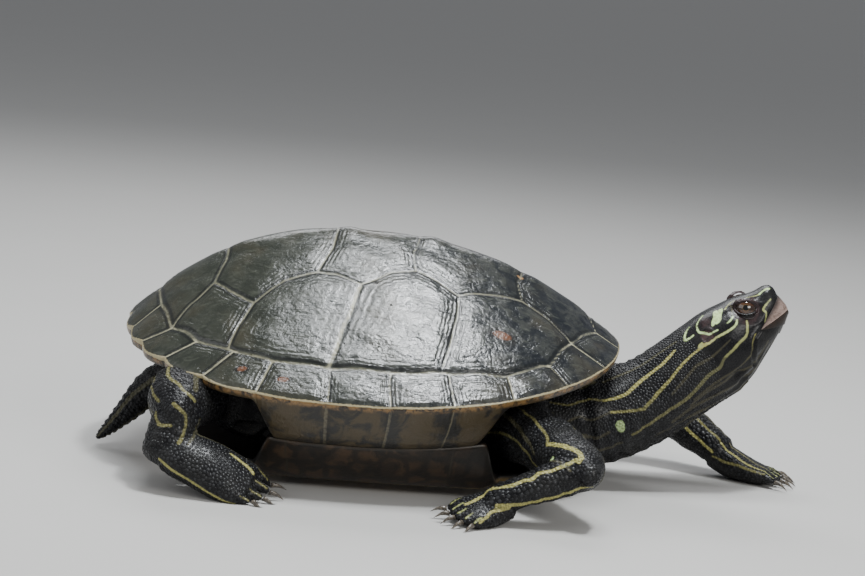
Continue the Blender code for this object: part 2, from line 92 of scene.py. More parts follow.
# Scute borders on the upper shell, as places (forward, to the side) that are the same on both sides.
SCUTE_BORDER = ((86.5, 0), (88.5, 9.3), (77, 25.5), (67.5, 42.5), (50.5, 53), (28, 57.5), (5, 60.5), (-18, 60.5),
                (-40, 58.5), (-55.5, 52.5), (-69.8, 44), (-80, 31.5), (-86, 14), (-87.5, 0))
UPPER_SEAMS = (
    ((77, 25.5), (68, 20.5), (57, 17)), ((57, 17), (55.5, 8), (57.5, 0)), ((57, 17), (44, 20), (31, 25)),
    ((31, 25), (22, 20.5), (14, 18)), ((14, 18), (12.5, 9), (15.5, 0)), ((14, 18), (3, 21), (-8, 27)),
    ((-8, 27), (-17, 23), (-25.3, 22)), ((-25.3, 22), (-20, 11), (-17.5, 0)), ((-25.3, 22), (-38, 25), (-49, 33)),
    ((-49, 33), (-59, 25), (-65, 18)), ((-65, 18), (-62, 8), (-61, 0)), ((-65, 18), (-74, 24), (-80, 31.5)),
    ((31, 26), (30.5, 34), (28.5, 42), (25.5, 56)),
    ((-49, 33), (-54.5, 41.7), (-57.5, 51)),
)
WORN_SEAM = ((-8, 28), (-11, 36), (-14, 45), (-18.5, 60))
WORN_FINER = 1.9
KEEL_KNOBS = ((61, 0.5), (20, 1.2), (-15, 1.3), (-58, 0.6))      # place along the keel, and height
GROWTH_LINE = 1.9                        # from one growth line to the next
# Small marks on the horn: place, then half its length and half its width. The rusty ones are on both sides.
RUSTY_SPOTS = ((-51.5, 60.8, 2.2, 1.1), (-35.7, 65.8, 2.4, 1.1), (48.5, 37.5, 4.0, 2.0))
PALE_FLECKS = ((56.5, -4.5, 1.6, 0.8), (57.0, 6, 1.2, 0.6))
PLASTRON_SEAMS = (((74, 0), (80, 22)), ((52, 0), (60, 40)), ((22, 0), (30, 52), (34, 70)),
                  ((-22, 0), (-30, 52), (-34, 70)), ((-52, 0), (-56, 40)), ((90, 0), (-90, 0)))


def smooth(low, high, value):
    """0 at low and under, 1 at high and over; low may be the greater of the two."""
    t = np.clip((value - low) / (high - low), 0.0, 1.0)
    return t * t * (3 - 2 * t)


def bell(distance, width):
    return np.exp(-(distance / width) ** 2)


# ---------------------------------------------------------------- shader writing

class Wire:
    """A socket inside a material, with which sums, products and masks are written as Python expressions."""

    def __init__(self, finish, socket):
        self.finish, self.socket = finish, socket

    def maths(self, operation, *values):
        return self.finish.node("ShaderNodeMath", {"operation": operation}, dict(enumerate(values)))

    def __add__(self, other):
        return self.maths("ADD", self, other)

    def __sub__(self, other):
        return self.maths("SUBTRACT", self, other)

    def __rsub__(self, other):
        return self.maths("SUBTRACT", other, self)

    def __mul__(self, other):
        return self.maths("MULTIPLY", self, other)

    __radd__, __rmul__ = __add__, __mul__

    def high(self, other):
        return self.maths("MAXIMUM", self, other)

    def fade(self, low, high):
        """The same as smooth(), for a socket."""
        return self.finish.node("ShaderNodeMapRange", {"interpolation_type": "SMOOTHSTEP"},
                                {"Value": self, "From Min": low, "From Max": high})


class Finish:
    """A material and the few ways in which its nodes are made."""

    def __init__(self, name):
        self.material = bpy.data.materials.new(name)
        self.material.use_nodes = True
        self.tree = self.material.node_tree
        self.tree.nodes.clear()
        self.place = self.node("ShaderNodeTexCoord", output="Object")

    def node(self, kind, settings=None, inputs=None, output=0):
        made = self.tree.nodes.new(kind)
        for key, value in (settings or {}).items():
            setattr(made, key, value)
        for key, value in (inputs or {}).items():
            if isinstance(value, Wire):
                self.tree.links.new(value.socket, made.inputs[key])
            else:
                made.inputs[key].default_value = value
        return Wire(self, made.outputs[output])

    def attribute(self, name):
        return self.node("ShaderNodeAttribute", {"attribute_name": name}, output="Fac")

    def noise(self, per_mm, detail, roughness, distortion=0.0, vector=None):
        return self.node("ShaderNodeTexNoise", {}, {
            "Vector": vector or self.place, "Scale": per_mm / MM, "Detail": detail, "Roughness": roughness,
            "Distortion": distortion})

    def cells(self, per_mm, feature="F1", vector=None):
        return self.node("ShaderNodeTexVoronoi", {"feature": feature},
                         {"Vector": vector or self.place, "Scale": per_mm / MM}, "Distance")

    def mix(self, share, first, second):
        return self.node("ShaderNodeMix", {"data_type": "RGBA"}, {0: share, 6: first, 7: second}, output=2)

    def done(self, colour, roughness, height=None, height_mm=0.1, **fixed):
        """Closes the material; a fixed socket's name has underscores for its spaces."""
        inputs = {"Base Color": colour, "Roughness": roughness}
        inputs.update((key.replace("_", " "), value) for key, value in fixed.items())
        if height is not None:
            inputs["Normal"] = self.node("ShaderNodeBump", {}, {"Height": height, "Distance": height_mm * MM,
                                                                "Strength": 1.0})
        shader = self.node("ShaderNodeBsdfPrincipled", {}, inputs)
        out = self.tree.nodes.new("ShaderNodeOutputMaterial")
        self.tree.links.new(shader.socket, out.inputs["Surface"])
        return self.material


def rgb(red, green, blue):
    return (red, green, blue, 1.0)


# ---------------------------------------------------------------- meshes

def coordinates(bm):
    return np.array([v.co[:] for v in bm.verts])


def normals_of(bm):
    return np.array([v.normal[:] for v in bm.verts])


def put_coordinates(bm, places):
    for vert, place in zip(bm.verts, places):
        vert.co = place


def add_object(name, data):
    item = bpy.data.objects.new(name, data)
    bpy.context.scene.collection.objects.link(item)
    return item


def as_data(name, bm):
    """Blender's own mesh from a bmesh, which is used up."""
    data = bpy.data.meshes.new(name)
    bm.to_mesh(data)
    bm.free()
    return data


def make_piece(name, data, slot, material, replaced=(), attributes=None):
    """Turns a mesh in millimetres into a finished piece in metres, riding on the one body."""
    data.transform(Matrix.Scale(MM, 4) @ Matrix.Translation(-ORIGIN))
    for key, values in (attributes or {}).items():
        layer = data.attributes.new(key, "FLOAT", "POINT")
        layer.data.foreach_set("value", np.asarray(values, dtype=np.float32))
    data.shade_smooth()
    data.materials.clear()
    data.materials.append(material)
    item = add_object(name, data)
    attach(item, "root")
    if replaced:
        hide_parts(*replaced)


def line_distance(points, lines):
    """Distance in the plane from each point to the nearest of the lines."""
    best = np.full(len(points), 1e9)
    for line in lines:
        for start, end in zip(line, line[1:]):
            a, b = np.array(start, float), np.array(end, float)
            along = b - a
            t = np.clip(((points - a) @ along) / (along @ along), 0, 1)
            best = np.minimum(best, np.linalg.norm(points - a - t[:, None] * along, axis=1))
    return best


def waves(points, size, seed):
    """Soft lumps of about that size, between -1 and 1, the same on each run."""
    rng = np.random.default_rng(seed)
    total = np.zeros(len(points))
    for _ in range(7):
        way = rng.normal(size=points.shape[1])
        way /= np.linalg.norm(way)
        total += np.sin(points @ way * (2 * pi / (size * rng.uniform(0.7, 1.5))) + rng.uniform(0, 2 * pi))
    return total / 4.5


# ---------------------------------------------------------------- numbers along a smooth line

def blend_rows(rows, t):
    """The row at t, from 0 to 1, on a smooth curve through the rows."""
    last = len(rows) - 1
    step = min(last - 1, int(t * last))
    u = t * last - step
    before, start, end, after = (rows[max(0, min(last, step + k))] for k in (-1, 0, 1, 2))
    return [0.5 * (2 * b + (c - a) * u + (2 * a - 5 * b + 4 * c - d) * u ** 2 + (3 * b - a - 3 * c + d) * u ** 3)
            for a, b, c, d in zip(before, start, end, after)]


def smooth_rows(rows, count):
    return [blend_rows(rows, i / (count - 1)) for i in range(count)]


def add_ring(bm, place, half_width, above, below, sides, square):
    """A closed ring in the place's YZ plane: Y is its side, Z its top."""
    made = bmesh.ops.create_circle(bm, cap_ends=False, segments=sides, radius=1.0)["verts"]
    for vert in made:
        across, up = -vert.co.y, vert.co.x
        across = half_width * abs(across) ** (2 / square) * (1 if across > 0 else -1)
        up = abs(up) ** (2 / square) * (above if up > 0 else -below)
        vert.co = place @ Vector((0, across, up))
    return made


def ring_edges(verts):
    inside = set(verts)
    return [e for e in {e for v in verts for e in v.link_edges} if set(e.verts) <= inside]


def bridge(bm, rings):
    """Skins the rings in order, closes both ends and turns the faces outwards."""
    faces = []
    for ring, following in zip(rings, rings[1:]):
        faces += bmesh.ops.bridge_loops(bm, edges=ring_edges(ring) + ring_edges(following))["faces"]
    for ring in (rings[0], rings[-1]):
        faces += bmesh.ops.contextual_create(bm, geom=ring_edges(ring))["faces"]
    bmesh.ops.recalc_face_normals(bm, faces=faces)


def route_frames(rows, hint):
    """A frame on each row's centre, its X along the route and its Z kept near the hint."""
    centres = [Vector(row[:3]) for row in rows]
    up = Vector(hint)
    frames = []
    for i, centre in enumerate(centres):
        ahead = (centres[min(i + 1, len(rows) - 1)] - centres[max(i - 1, 0)]).normalized()
        up = (up - ahead * up.dot(ahead)).normalized()
        side = up.cross(ahead)
        frames.append(Matrix.Translation(centre) @ Matrix((ahead, side, up)).transposed().to_4x4())
    return frames


def shell_place():
    return (Matrix.Translation((0, 0, SHELL_LIFT)) @ Matrix.Rotation(-SHELL_PITCH, 4, "Y")
            @ Matrix.Rotation(SHELL_LEAN, 4, "X"))


# ---------------------------------------------------------------- shell surfaces

def outline(turn):
    """The rim seen from above, at degrees from the nose end."""
    c, s = np.cos(np.radians(turn)), np.sin(np.radians(turn))
    reach, power = np.where(c > 0, FRONT_REACH, REAR_REACH), np.where(c > 0, FRONT_POWER, REAR_POWER)
    return np.stack([WIDEST_X + np.sign(c) * reach * np.abs(c) ** (2 / power), HALF_WIDTH * s], axis=-1)


def half_width_at(x):
    reach, power = np.where(x > WIDEST_X, FRONT_REACH, REAR_REACH), np.where(x > WIDEST_X, FRONT_POWER, REAR_POWER)
    return HALF_WIDTH * np.maximum(1e-6, 1 - np.minimum(1.0, np.abs(x - WIDEST_X) / reach) ** power) ** 0.5


def rim_height(x):
    return RIM_HEIGHT + np.where(x > 0, RIM_RISE_FRONT, RIM_RISE_REAR) * (x / 100) ** 2


def crown_height(x):
    front = CROWN_DROP_FRONT * (np.maximum(0, x - APEX_X) / 105) ** 2.2
    return APEX_HEIGHT - front - CROWN_DROP_REAR * (np.maximum(0, APEX_X - x) / 95) ** 2.5


def roof_height(x, y):
    away = np.hypot(y, KEEL_RADIUS) - KEEL_RADIUS
    t = np.minimum(1.0, away / np.maximum(1e-3, np.hypot(half_width_at(x), KEEL_RADIUS) - KEEL_RADIUS))
    low = rim_height(x)
    return low + np.maximum(0.0, crown_height(x) - low) * (1 - t) * (1 + ROOF_BULGE * t)


def bridge_share(x):
    return smooth(BRIDGE_REAR - BRIDGE_FADE, BRIDGE_REAR, x) * smooth(BRIDGE_FRONT + BRIDGE_FADE, BRIDGE_FRONT, x)


def seam_gap(turn):
    """How far round the rim the nearest marginal seam is, in degrees and as a share of its scute's half."""
    seams = np.array(MARGINAL_SEAMS)
    away = np.abs(np.abs(turn)[:, None] - seams)
    nearest = away.argmin(axis=1)
    halves = np.gradient(seams) / 2
    return away.min(axis=1), np.clip(away.min(axis=1) / halves[nearest], 0, 1)


def notch(turn):
    _, share = seam_gap(turn)
    return SERRATION * smooth(95, 135, np.abs(turn)) * (1 - share) ** 1.6


def shell_grid(cells):
    """A flat grid with its edge drawn out in steps. Each point knows its degrees round the shell, its share of the
    way out to the rim and the step that it is on, which is 0 on the roof."""
    bm = bmesh.new()
    turn_layer, ring_layer = (bm.verts.layers.float.new(name) for name in ("turn", "ring"))
    share_layer = bm.verts.layers.float.new("share")
    bmesh.ops.create_grid(bm, x_segments=cells, y_segments=cells, size=1.0)
    for vert in bm.verts:
        a, b = vert.co.x, vert.co.y
        share = max(abs(a), abs(b))
        if share > 1e-9:
            quarter = 45 * b / a if abs(a) >= abs(b) else 90 - 45 * a / b
            turn = quarter + (180 if (a < 0 if abs(a) >= abs(b) else b < 0) else 0)
            vert[turn_layer] = (turn + 180) % 360 - 180
        vert[share_layer] = share
    edges = [e for e in bm.edges if e.is_boundary]
    for step in range(len(EDGE_STEPS) + len(INNER_SHARES)):
        made = bmesh.ops.extrude_edge_only(bm, edges=edges)["geom"]
        for vert in (g for g in made if isinstance(g, bmesh.types.BMVert)):
            vert[ring_layer] = step + 1
        edges = [g for g in made if isinstance(g, bmesh.types.BMEdge) and g.is_boundary]
    bmesh.ops.contextual_create(bm, geom=edges)
    turn, share, ring = (np.array([v[layer] for v in bm.verts]) for layer in (turn_layer, share_layer, ring_layer))
    return bm, turn, share, ring.round()


def spot_distance(x, y, spots):
    """How far each point is from the middle of the nearest spot; 1 is on the spot's border."""
    best = np.full(len(x), 9.0)
    for spot_x, spot_y, long_way, short_way in spots:
        best = np.minimum(best, np.hypot((x - spot_x) / long_way, (y - spot_y) / short_way))
    return best


def scute_seams(folded):
    """How far each point of the roof is from the nearest seam, and how clearly that seam shows."""
    strayed = folded + np.stack([waves(folded, 17.0, 3), waves(folded, 17.0, 4)], axis=1) * 0.5
    marginal_lines = [(border, tuple(outline(np.array([float(seam)]))[0]))
                      for border, seam in zip(SCUTE_BORDER[1:], MARGINAL_SEAMS)]
    by_marginals = line_distance(strayed, marginal_lines)
    worn = line_distance(strayed, [WORN_SEAM])
    seam = np.minimum(line_distance(strayed, [SCUTE_BORDER, *UPPER_SEAMS]), by_marginals)
    return np.minimum(seam, worn / WORN_FINER), np.maximum(bell(by_marginals, 2.0), bell(worn, 2.5))


def scute_height(xy, folded, seam, share):
    """The roof's height: scutes that swell a little inside sunk seams, growth lines along these, a broken keel."""
    inner = line_distance(folded, [SCUTE_BORDER])
    growth = bell(seam - 4.2, 3.6) * (0.55 + 0.9 * bell(inner - 4, 4))
    growth = growth * np.clip(0.55 + 0.7 * waves(xy, 26.0, 5), 0, 1)
    ripple = np.sin(seam * 2 * pi / GROWTH_LINE + 1.4 * waves(xy, 21.0, 8)) * growth
    knob = sum(bell(xy[:, 0] - x, 6.5) * height for x, height in KEEL_KNOBS)
    border = np.array(sorted(SCUTE_BORDER))
    within = folded[:, 1] < np.interp(folded[:, 0], border[:, 0], border[:, 1], left=-1, right=-1)
    plate = 0.55 * smooth(0, 6.5, seam) + 0.5 * smooth(0.1, 1.6, inner) * bell(inner, 12) * within
    z = roof_height(xy[:, 0], xy[:, 1])
    z = z + np.where(share < 0.985, plate - 0.30 * bell(seam, 0.5), -0.1 * bell(seam, 0.6))
    return z + 0.11 * ripple + 0.22 * waves(xy, 13.0, 6) + knob * bell(xy[:, 1], 4.5)


def carapace():
    """The upper shell: a fine roof with scutes, seams and growth lines, a rim, an underside and an inner wall."""
    bm, turn, share, ring = shell_grid(250)
    centre = np.array([WIDEST_X, 0.0])
    rim = outline(turn)
    away = rim - centre
    length = np.linalg.norm(away, axis=1)
    set_in = notch(turn)
    over_bridge = bridge_share(rim[:, 0])
    seam_turn, middle = seam_gap(turn)
    across_rim = seam_turn * length * radians(1.0)
    xy = centre + away * (share * (1 - set_in / length * smooth(0.8, 1.0, share)))[:, None]
    folded = np.stack([xy[:, 0], np.abs(xy[:, 1])], axis=1)
    seam, clear = scute_seams(folded)
    places = np.column_stack([xy, scute_height(xy, folded, seam, share)])
    seam, clear = np.where(ring == 0, (seam, clear), (across_rim, np.ones(len(xy))))

    # the lip, the underside and the inner wall, and how far round the edge each point is: below 0 on the roof
    around_edge = (share - 1) * length
    for step, (inset, low, bridge_inset, bridge_low) in enumerate(EDGE_STEPS):
        pick = ring == step + 1
        pull = inset + bridge_inset * over_bridge + set_in + 0.3 * bell(across_rim, 0.7)
        p = centre + away * (1 - pull / length)[:, None]
        height = rim_height(p[:, 0]) - low - bridge_low * over_bridge
        places[pick] = np.column_stack([p, height])[pick]
        around_edge[pick] = (low + bridge_low * over_bridge)[pick] if step < len(LIP_TURNS) else FAR_INSIDE
    for step, inner_share in enumerate(INNER_SHARES):
        pick = ring == len(EDGE_STEPS) + 1 + step
        p = centre + away * inner_share
        places[pick] = np.column_stack([p, roof_height(p[:, 0], p[:, 1]) - SHELL_WALL])[pick]
        around_edge[pick] = FAR_INSIDE
    put_coordinates(bm, places)
    bmesh.ops.recalc_face_normals(bm, faces=bm.faces)
    bmesh.ops.transform(bm, matrix=shell_place(), verts=bm.verts)
    return bm, dict(seam=np.minimum(seam, 12), edge=np.clip(around_edge, -FAR_INSIDE, FAR_INSIDE), clear=clear,
                    middle=middle, spot=spot_distance(xy[:, 0], folded[:, 1], RUSTY_SPOTS),
                    fleck=spot_distance(xy[:, 0], xy[:, 1], PALE_FLECKS))


def plastron():
    """The lower shell: a plate with a notched tail end, rising at both sides into the bridges."""
    columns, stations = ((110, 150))
    bm = bmesh.new()
    rings, flat_places, climbs, inner = [], [], [], []
    for i in range(stations):
        x = PLASTRON_REAR + (PLASTRON_FRONT - PLASTRON_REAR) * i / (stations - 1)
        ring = bmesh.ops.create_circle(bm, cap_ends=False, segments=2 * columns, radius=1.0)["verts"]
        along = (x - PLASTRON_REAR) / (PLASTRON_FRONT - PLASTRON_REAR)
        to_end = abs(2 * along - 1)
        lobe = max(LOBE_END, (1 - to_end ** 5) ** 0.5)
        share = float(bridge_share(np.array(x)))
        plate = (PLASTRON_HALF - LOBE_INSET * (1 - share)) * lobe
        flat = 1 - BRIDGE_PART * share
        reach = float(half_width_at(np.array(x))) - BRIDGE_INSET - LIP_SLOPE - BRIDGE_JOINT - plate
        rise = float(rim_height(np.array(x))) - LIP - BRIDGE_DROP - BRIDGE_JOINT
        curl = END_CURL * float(smooth(70, PLASTRON_FRONT, abs(x)))
        for k, vert in enumerate(ring):
            on_top = k >= columns
            across = 2 * (k if not on_top else 2 * columns - 1 - k) / (columns - 1) - 1
            y, z, climb = plate * min(1.0, abs(across) / flat), curl, 0.0
            if abs(across) > flat:
                climb = share * (abs(across) - flat) / (1 - flat)
                y += reach * climb ** 0.8
                z += rise * climb ** 1.5
            if on_top:
                y -= 0.85 * PLASTRON_WALL * climb
                z += PLASTRON_WALL * (1 - climb)
            else:
                edge = abs(across) * (1 - share)
                z += 0.9 * edge ** 14 + 0.5 * max(0.0, to_end - 0.96) / 0.04
            notched = TAIL_NOTCH * float(smooth(-60, PLASTRON_REAR, x)) * (1 - float(smooth(0, 18, abs(y))))
            flat_places.append((x, y))
            climbs.append(0.0 if on_top else climb)
            inner.append(float(on_top))
            vert.co = Vector((x + notched, y if across > 0 else -y, z))
        rings.append(ring)
    bridge(bm, rings)
    bm.normal_update()
    seam = line_distance(np.array(flat_places), PLASTRON_SEAMS)
    relief = 0.3 * bell(seam, 0.6) + 0.12 * np.sin(seam * 2 * pi / 2.4) * bell(seam - 5, 4)
    places = coordinates(bm)
    places[:, 2] += np.where(normals_of(bm)[:, 2] < 0.2, relief, 0)
    put_coordinates(bm, places)
    bmesh.ops.transform(bm, matrix=shell_place(), verts=bm.verts)
    return bm, dict(seam=np.minimum(seam, 20), climb=climbs, inner=inner)


# ---------------------------------------------------------------- flesh sizes, as in the solids
BEAK_TIP = Vector((168.5, 0.0, 79.0))
HEAD_TILT = radians(28.0)
NECK_JOINT = -36.0
MOUTH_CORNER = (-15.2, -1.5)
EYE_RADIUS = 4.6
EYE_PLACE = (-17.0, 6.7, 8.3)
EYE_LOOK = Vector((-0.03, 0.95, 0.30)).normalized()
LID_TILT = radians(25)                   # the eye's slit stays level while the head is raised
EYE_LEVEL = (Vector((cos(LID_TILT), 0, -sin(LID_TILT))) - EYE_LOOK * -EYE_LOOK.z * sin(LID_TILT)).normalized()
EYE_RISE = EYE_LEVEL.cross(EYE_LOOK)
LID_LONG, LID_HIGH = 4.15, 2.35
LID_POINT = 1.75                         # how pointed the slit's ends are
LID_RIM = 1.13                           # where the rim of the lids is thickest; the slit's own edge is at 1
LID_CREASE = 0.36
EVEN_FIELD = 13                          # how far round the eye the skin is evened out once more
LID_FIELD = 9.5                          # how far round the eye the skin is finer and shaped into lids
EYE_INNER = 3                            # nearer to the middle of the head than this, nothing belongs to an eye
TYMPANUM = (-36.0, 5.0, 2.6)             # along the skull, up, radius
NOSTRIL = (-3.4, 2.0, 9.6)
# Lines on the head: along the skull and up, but the brow's are along it and to the side.
MOUTH_CREASE = (MOUTH_CORNER, (-18.5, -3.4), (-21.5, -8.0), (-22.5, -14))
JAW_LINE = ((-8, -7), (-16, -10.5), (-25, -13.5), (-34, -14))
BROW_LINE = ((-5, 3.5), (-11, 6.2), (-17, 8.0), (-24, 8.5))
NECK = ((68, 0, 22, 24, 19, 17), (86, 0, 25, 23, 19.5, 18.5), (100, 0, 29, 21, 19, 19),
        (115, 0, 36.5, 18.5, 17.7, 17.9), (128, 0, 47, 17, 17.3, 17.6), (141.5, 0, 58.2, 15.4, 18.0, 18.0))
# Skull sections: along, top, bottom, half width. All other sections: centre, half width, above it, below it.
SKULL = ((NECK_JOINT, 12.2, -24.2, 15.5), (-30, 12.9, -22.8, 15.5), (-24, 13, -20.2, 14.6),
         (-17, 12.3, -15.2, 12.3), (-11, 11.9, -11, 9.8), (-7, 11.6, -8, 8), (-4, 10.5, -5.5, 6.2),
         (-2, 7, -3.2, 4.4), (-0.4, 2.5, -1.6, 2.2))
TAIL = ((-74, -3, 32, 10, 10, 10), (-88, -4, 25, 8, 7.5, 7.5), (-97, -6, 15, 5.8, 5.2, 5.2),
        (-104, -8.5, 7.4, 3.4, 3.2, 3.2), (-109, -10.5, 2.6, 1.4, 1.3, 1.3))
LIMBS = {
    "right_upper_arm": ((56, -30, 27, 14, 12, 13), (66, -50, 26, 13, 11.5, 12), (75, -70, 24.5, 11, 9.5, 10),
                        (80, -82, 23, 9.5, 8.5, 9), (82, -90, 22.5, 5, 5, 5)),
    "right_forearm": ((80, -82, 22.5, 8, 8.5, 8.5), (68, -85, 17.5, 7.5, 7.2, 7.4), (56, -86, 12.5, 7, 6, 6),
                      (47, -86, 8.2, 7.5, 5.4, 6)),
    "left_upper_arm": ((60, 33, 30, 14, 12, 13), (80, 40, 31, 12.5, 11, 12), (100, 44, 32, 11, 10, 10.5),
                       (116, 45, 33, 9.5, 9, 9), (124, 45, 33, 5, 5, 5)),
    "left_forearm": ((117, 44, 32, 8.8, 8.8, 9.2), (129, 41, 25.5, 9, 9.6, 9.6), (141, 36, 18, 9, 8.8, 8.8),
                     (153, 30, 11, 9, 6.8, 7)),
    "right_thigh": ((-62, -28, 34, 15, 13, 14), (-69, -44, 33.5, 14.5, 13, 14), (-74, -58, 32.5, 13, 12, 12.5),
                    (-75, -69, 31, 11, 10.5, 11), (-75, -77, 30.5, 6, 6, 6)),
    "right_shank": ((-74, -70, 30, 9.5, 9.5, 9.5), (-76.5, -73, 22, 9.3, 9.3, 9.3),
                    (-79, -76, 13.5, 8.6, 8.6, 8.6)),
    "left_thigh": ((-62, 28, 41, 15, 13, 14), (-67, 45, 43, 14.5, 13, 14), (-70, 60, 42, 12.5, 12, 12),
                   (-70, 73, 38.5, 11, 10.5, 11), (-70, 81, 37, 6, 6, 6)),
    "left_shank": ((-70, 74, 37, 9.5, 9.5, 9.5), (-76, 78, 26, 9.3, 9.3, 9.3), (-81, 80, 14.5, 8.6, 8.6, 8.6)),
}
PAWS = {
    "right_hand": dict(route=((53, -84, 9, 6.6, 5, 6), (47, -86.5, 7, 8.2, 5, 6), (41, -89.5, 5.6, 9.4, 4, 5.4),
                              (36.5, -92, 4.8, 9.4, 3, 4.6)), tip=-22, digits=5, fan=30, digit=4.2, claw=6.0),
    "left_hand": dict(route=((151, 31, 11.5, 7.5, 5.5, 7), (158, 28, 8.5, 9.5, 5.4, 7.4), (166, 25, 6, 11, 4.2, 6),
                             (173, 23, 4.6, 11.3, 3, 4.6)), tip=-6, digits=5, fan=32, digit=6.0, claw=6.5),
    "right_foot": dict(route=((-80, -77.5, 15.5, 6.5, 5.5, 6), (-74, -78, 15.8, 9.5, 7, 7.5),
                              (-64, -79, 13.0, 11, 7.2, 7), (-54, -80.5, 8.6, 11.5, 6.6, 6.2),
                              (-45.5, -81.5, 5.2, 11.5, 4.8, 4.6)),
                       tip=38, digits=4, fan=30, digit=7.0, claw=6.5),
    "left_foot": dict(route=((-88, 76, 8, 5.5, 5, 6.5), (-82, 80, 9, 8.6, 8.5, 9), (-72.5, 87, 8.6, 10, 7.5, 8.6),
                             (-63.5, 93.5, 6.6, 11, 5.4, 6.6), (-57, 98, 4.6, 12, 3.2, 4.6)),
                      tip=-8, digits=4, fan=30, digit=7.0, claw=6.5),
}
# The body's rings inside the shell: share of the way out to the rim, and height.
CORE_STEPS = ((0.12, "roof"), (0.35, "roof"), (0.6, "roof"), (0.74, "roof"), (0.785, "rim"), (0.765, 24.0),
              (0.685, 13.3), (0.575, 7.3), (0.3, 5.8))
JOINT_DOME = 4.0                         # rounds each limb piece off, so that the joints run smoothly
DOME_STEPS = ((0.45, 0.88), (0.8, 0.6), (1.0, 0.25))
SECTION_SQUARE = 2.2                     # 2 is an ellipse, and more is squarer
DIGIT_RADIUS = 1.9
CLAW_RADIUS = 1.25
CLAW_DROOP = 1.6
SOLE_SINK = 1.0
DIGIT_CLEAR = 0.15
GAP = 0.3
SKIN_DEPTH = 0.35                        # how far the skin lies inside the solids, which reach to the scales' tops
CORE_UNDER_ROOF = SHELL_WALL + 3.0 + SKIN_DEPTH
SKIN_VOXEL = 0.92
FINE_HEAD = (-38, 2, -30)                # the skin is finer between the first two along the skull, above the last
SKIN_FACES_KEPT = 0.55
BARE_FROM = -37.5                        # forward of this place along the skull the neck has no scales
THINNED_BEHIND = -37.0
PLAIN_FROM_STRIPE = 0.8
BODY_REACH = 1.35                        # past this share of a limb's size, a point belongs to the trunk


# ---------------------------------------------------------------- routes through the flesh

class Route:
    """A smooth centre line through one part of the body, with its section at every step."""

    def __init__(self, rows, hint=(0, 0, 1), tip=0.0, count=61, frames=None):
        self.rows = smooth_rows(rows, count) if frames is None else rows
        roll = Matrix.Rotation(radians(tip), 4, "X")
        self.frames = [f @ roll for f in (frames or route_frames(self.rows, hint))]
        self.centres = np.array([f.translation[:] for f in self.frames])
        self.turns = np.array([[list(row[:3]) for row in f.to_3x3()] for f in self.frames])
        self.sizes = np.array([row[3:6] for row in self.rows])

    def point(self, t, around):
        """The place on the surface at t along, and at degrees round from its top; negative is the right side."""
        step = round(max(0.0, min(1.0, t)) * (len(self.rows) - 1))
        half, above, below = self.sizes[step]
        s, c = sin(radians(around)), cos(radians(around))
        across = half * abs(s) ** (2 / SECTION_SQUARE) * (1 if s > 0 else -1)
        up = abs(c) ** (2 / SECTION_SQUARE) * (above if c > 0 else -below)
        return np.array((self.frames[step] @ Vector((0, across, up)))[:])

    def locate(self, points):
        """For each point: how far along it is, its angle round the route, its distance as a share of the section's
        size, and the way ahead there."""
        away = ((points[:, None, :] - self.centres[None]) ** 2).sum(axis=2)
        step = away.argmin(axis=1)
        local = np.einsum("nij,ni->nj", self.turns[step], points - self.centres[step])
        half, above, below = self.sizes[step].T
        up = local[:, 2] / np.where(local[:, 2] > 0, above, below)
        across = local[:, 1] / half
        share = np.sqrt(across ** 2 + up ** 2 + (local[:, 0] / np.maximum(half, 4.0)) ** 2)
        return step / (len(self.rows) - 1), np.degrees(np.arctan2(across, up)), share, self.turns[step][:, :, 0]


def head_frame():
    return Matrix.Translation(BEAK_TIP) @ Matrix.Rotation(-HEAD_TILT, 4, "Y")


def skull_rows(count):
    """Rows and places of the head's rings: the middle of each is a little above half way."""
    rows, places = [], []
    for x, top, bottom, half in smooth_rows(SKULL, count):
        middle = (top + bottom) / 2 + 0.1 * (top - bottom)
        rows.append((x, 0, middle, half, top - middle, middle - bottom))
        places.append(head_frame() @ Matrix.Translation((x, 0, middle)))
    return rows, places


def make_routes():
    rows, places = skull_rows(61)
    made = {"head": Route(rows, frames=places), "neck": Route(NECK, count=121), "tail": Route(TAIL)}
    for name, limb in LIMBS.items():
        made[name] = Route(limb, (1, 0, 0) if "shank" in name else (0, 0, 1))
    for name, paw in PAWS.items():
        made[name] = Route(paw["route"], tip=paw["tip"])
    return made


ROUTES = make_routes()


# ---------------------------------------------------------------- the body under the skin

def tube(bm, rows, frames, sides, sink=SKIN_DEPTH, dome=0.0):
    """A closed tube through the rows; a dome's height rounds off both of its ends."""
    stations = [(row, place, 1.0) for row, place in zip(rows, frames)]
    for ahead, share in DOME_STEPS if dome else ():
        stations.append((rows[-1], frames[-1] @ Matrix.Translation((dome * ahead, 0, 0)), share))
        stations.insert(0, (rows[0], frames[0] @ Matrix.Translation((-dome * ahead, 0, 0)), share))
    bridge(bm, [add_ring(bm, place, *(max(0.5, share * (size - sink)) for size in row[3:6]), sides, SECTION_SQUARE)
                for row, place, share in stations])


def paw_route(paw, count):
    rows = smooth_rows(paw["route"], count)
    roll = Matrix.Rotation(radians(paw["tip"]), 4, "X")
    return rows, [place @ roll for place in route_frames(rows, (0, 0, 1))]


def digit_frames(paw):
    """For each digit: the frame at its root, its length and how it bends to the floor."""
    rows, places = paw_route(paw, 9)
    last, place = rows[-1], places[-1]
    for i in range(paw["digits"]):
        across = 2 * (i + 0.5) / paw["digits"] - 1
        turn = Matrix.Rotation(radians(paw["fan"] * across), 4, "Z")
        root = place @ Matrix.Translation((-2.5 * across ** 2 - 2.5, 0.8 * last[3] * across, -0.6)) @ turn
        stretch = paw["digit"] + 3.0
        height = (root @ Vector((stretch, 0, 0))).z
        bend = max(0.0, DIGIT_RADIUS - height) - max(0.0, height - 2.6) * 0.7
        yield root, stretch, bend


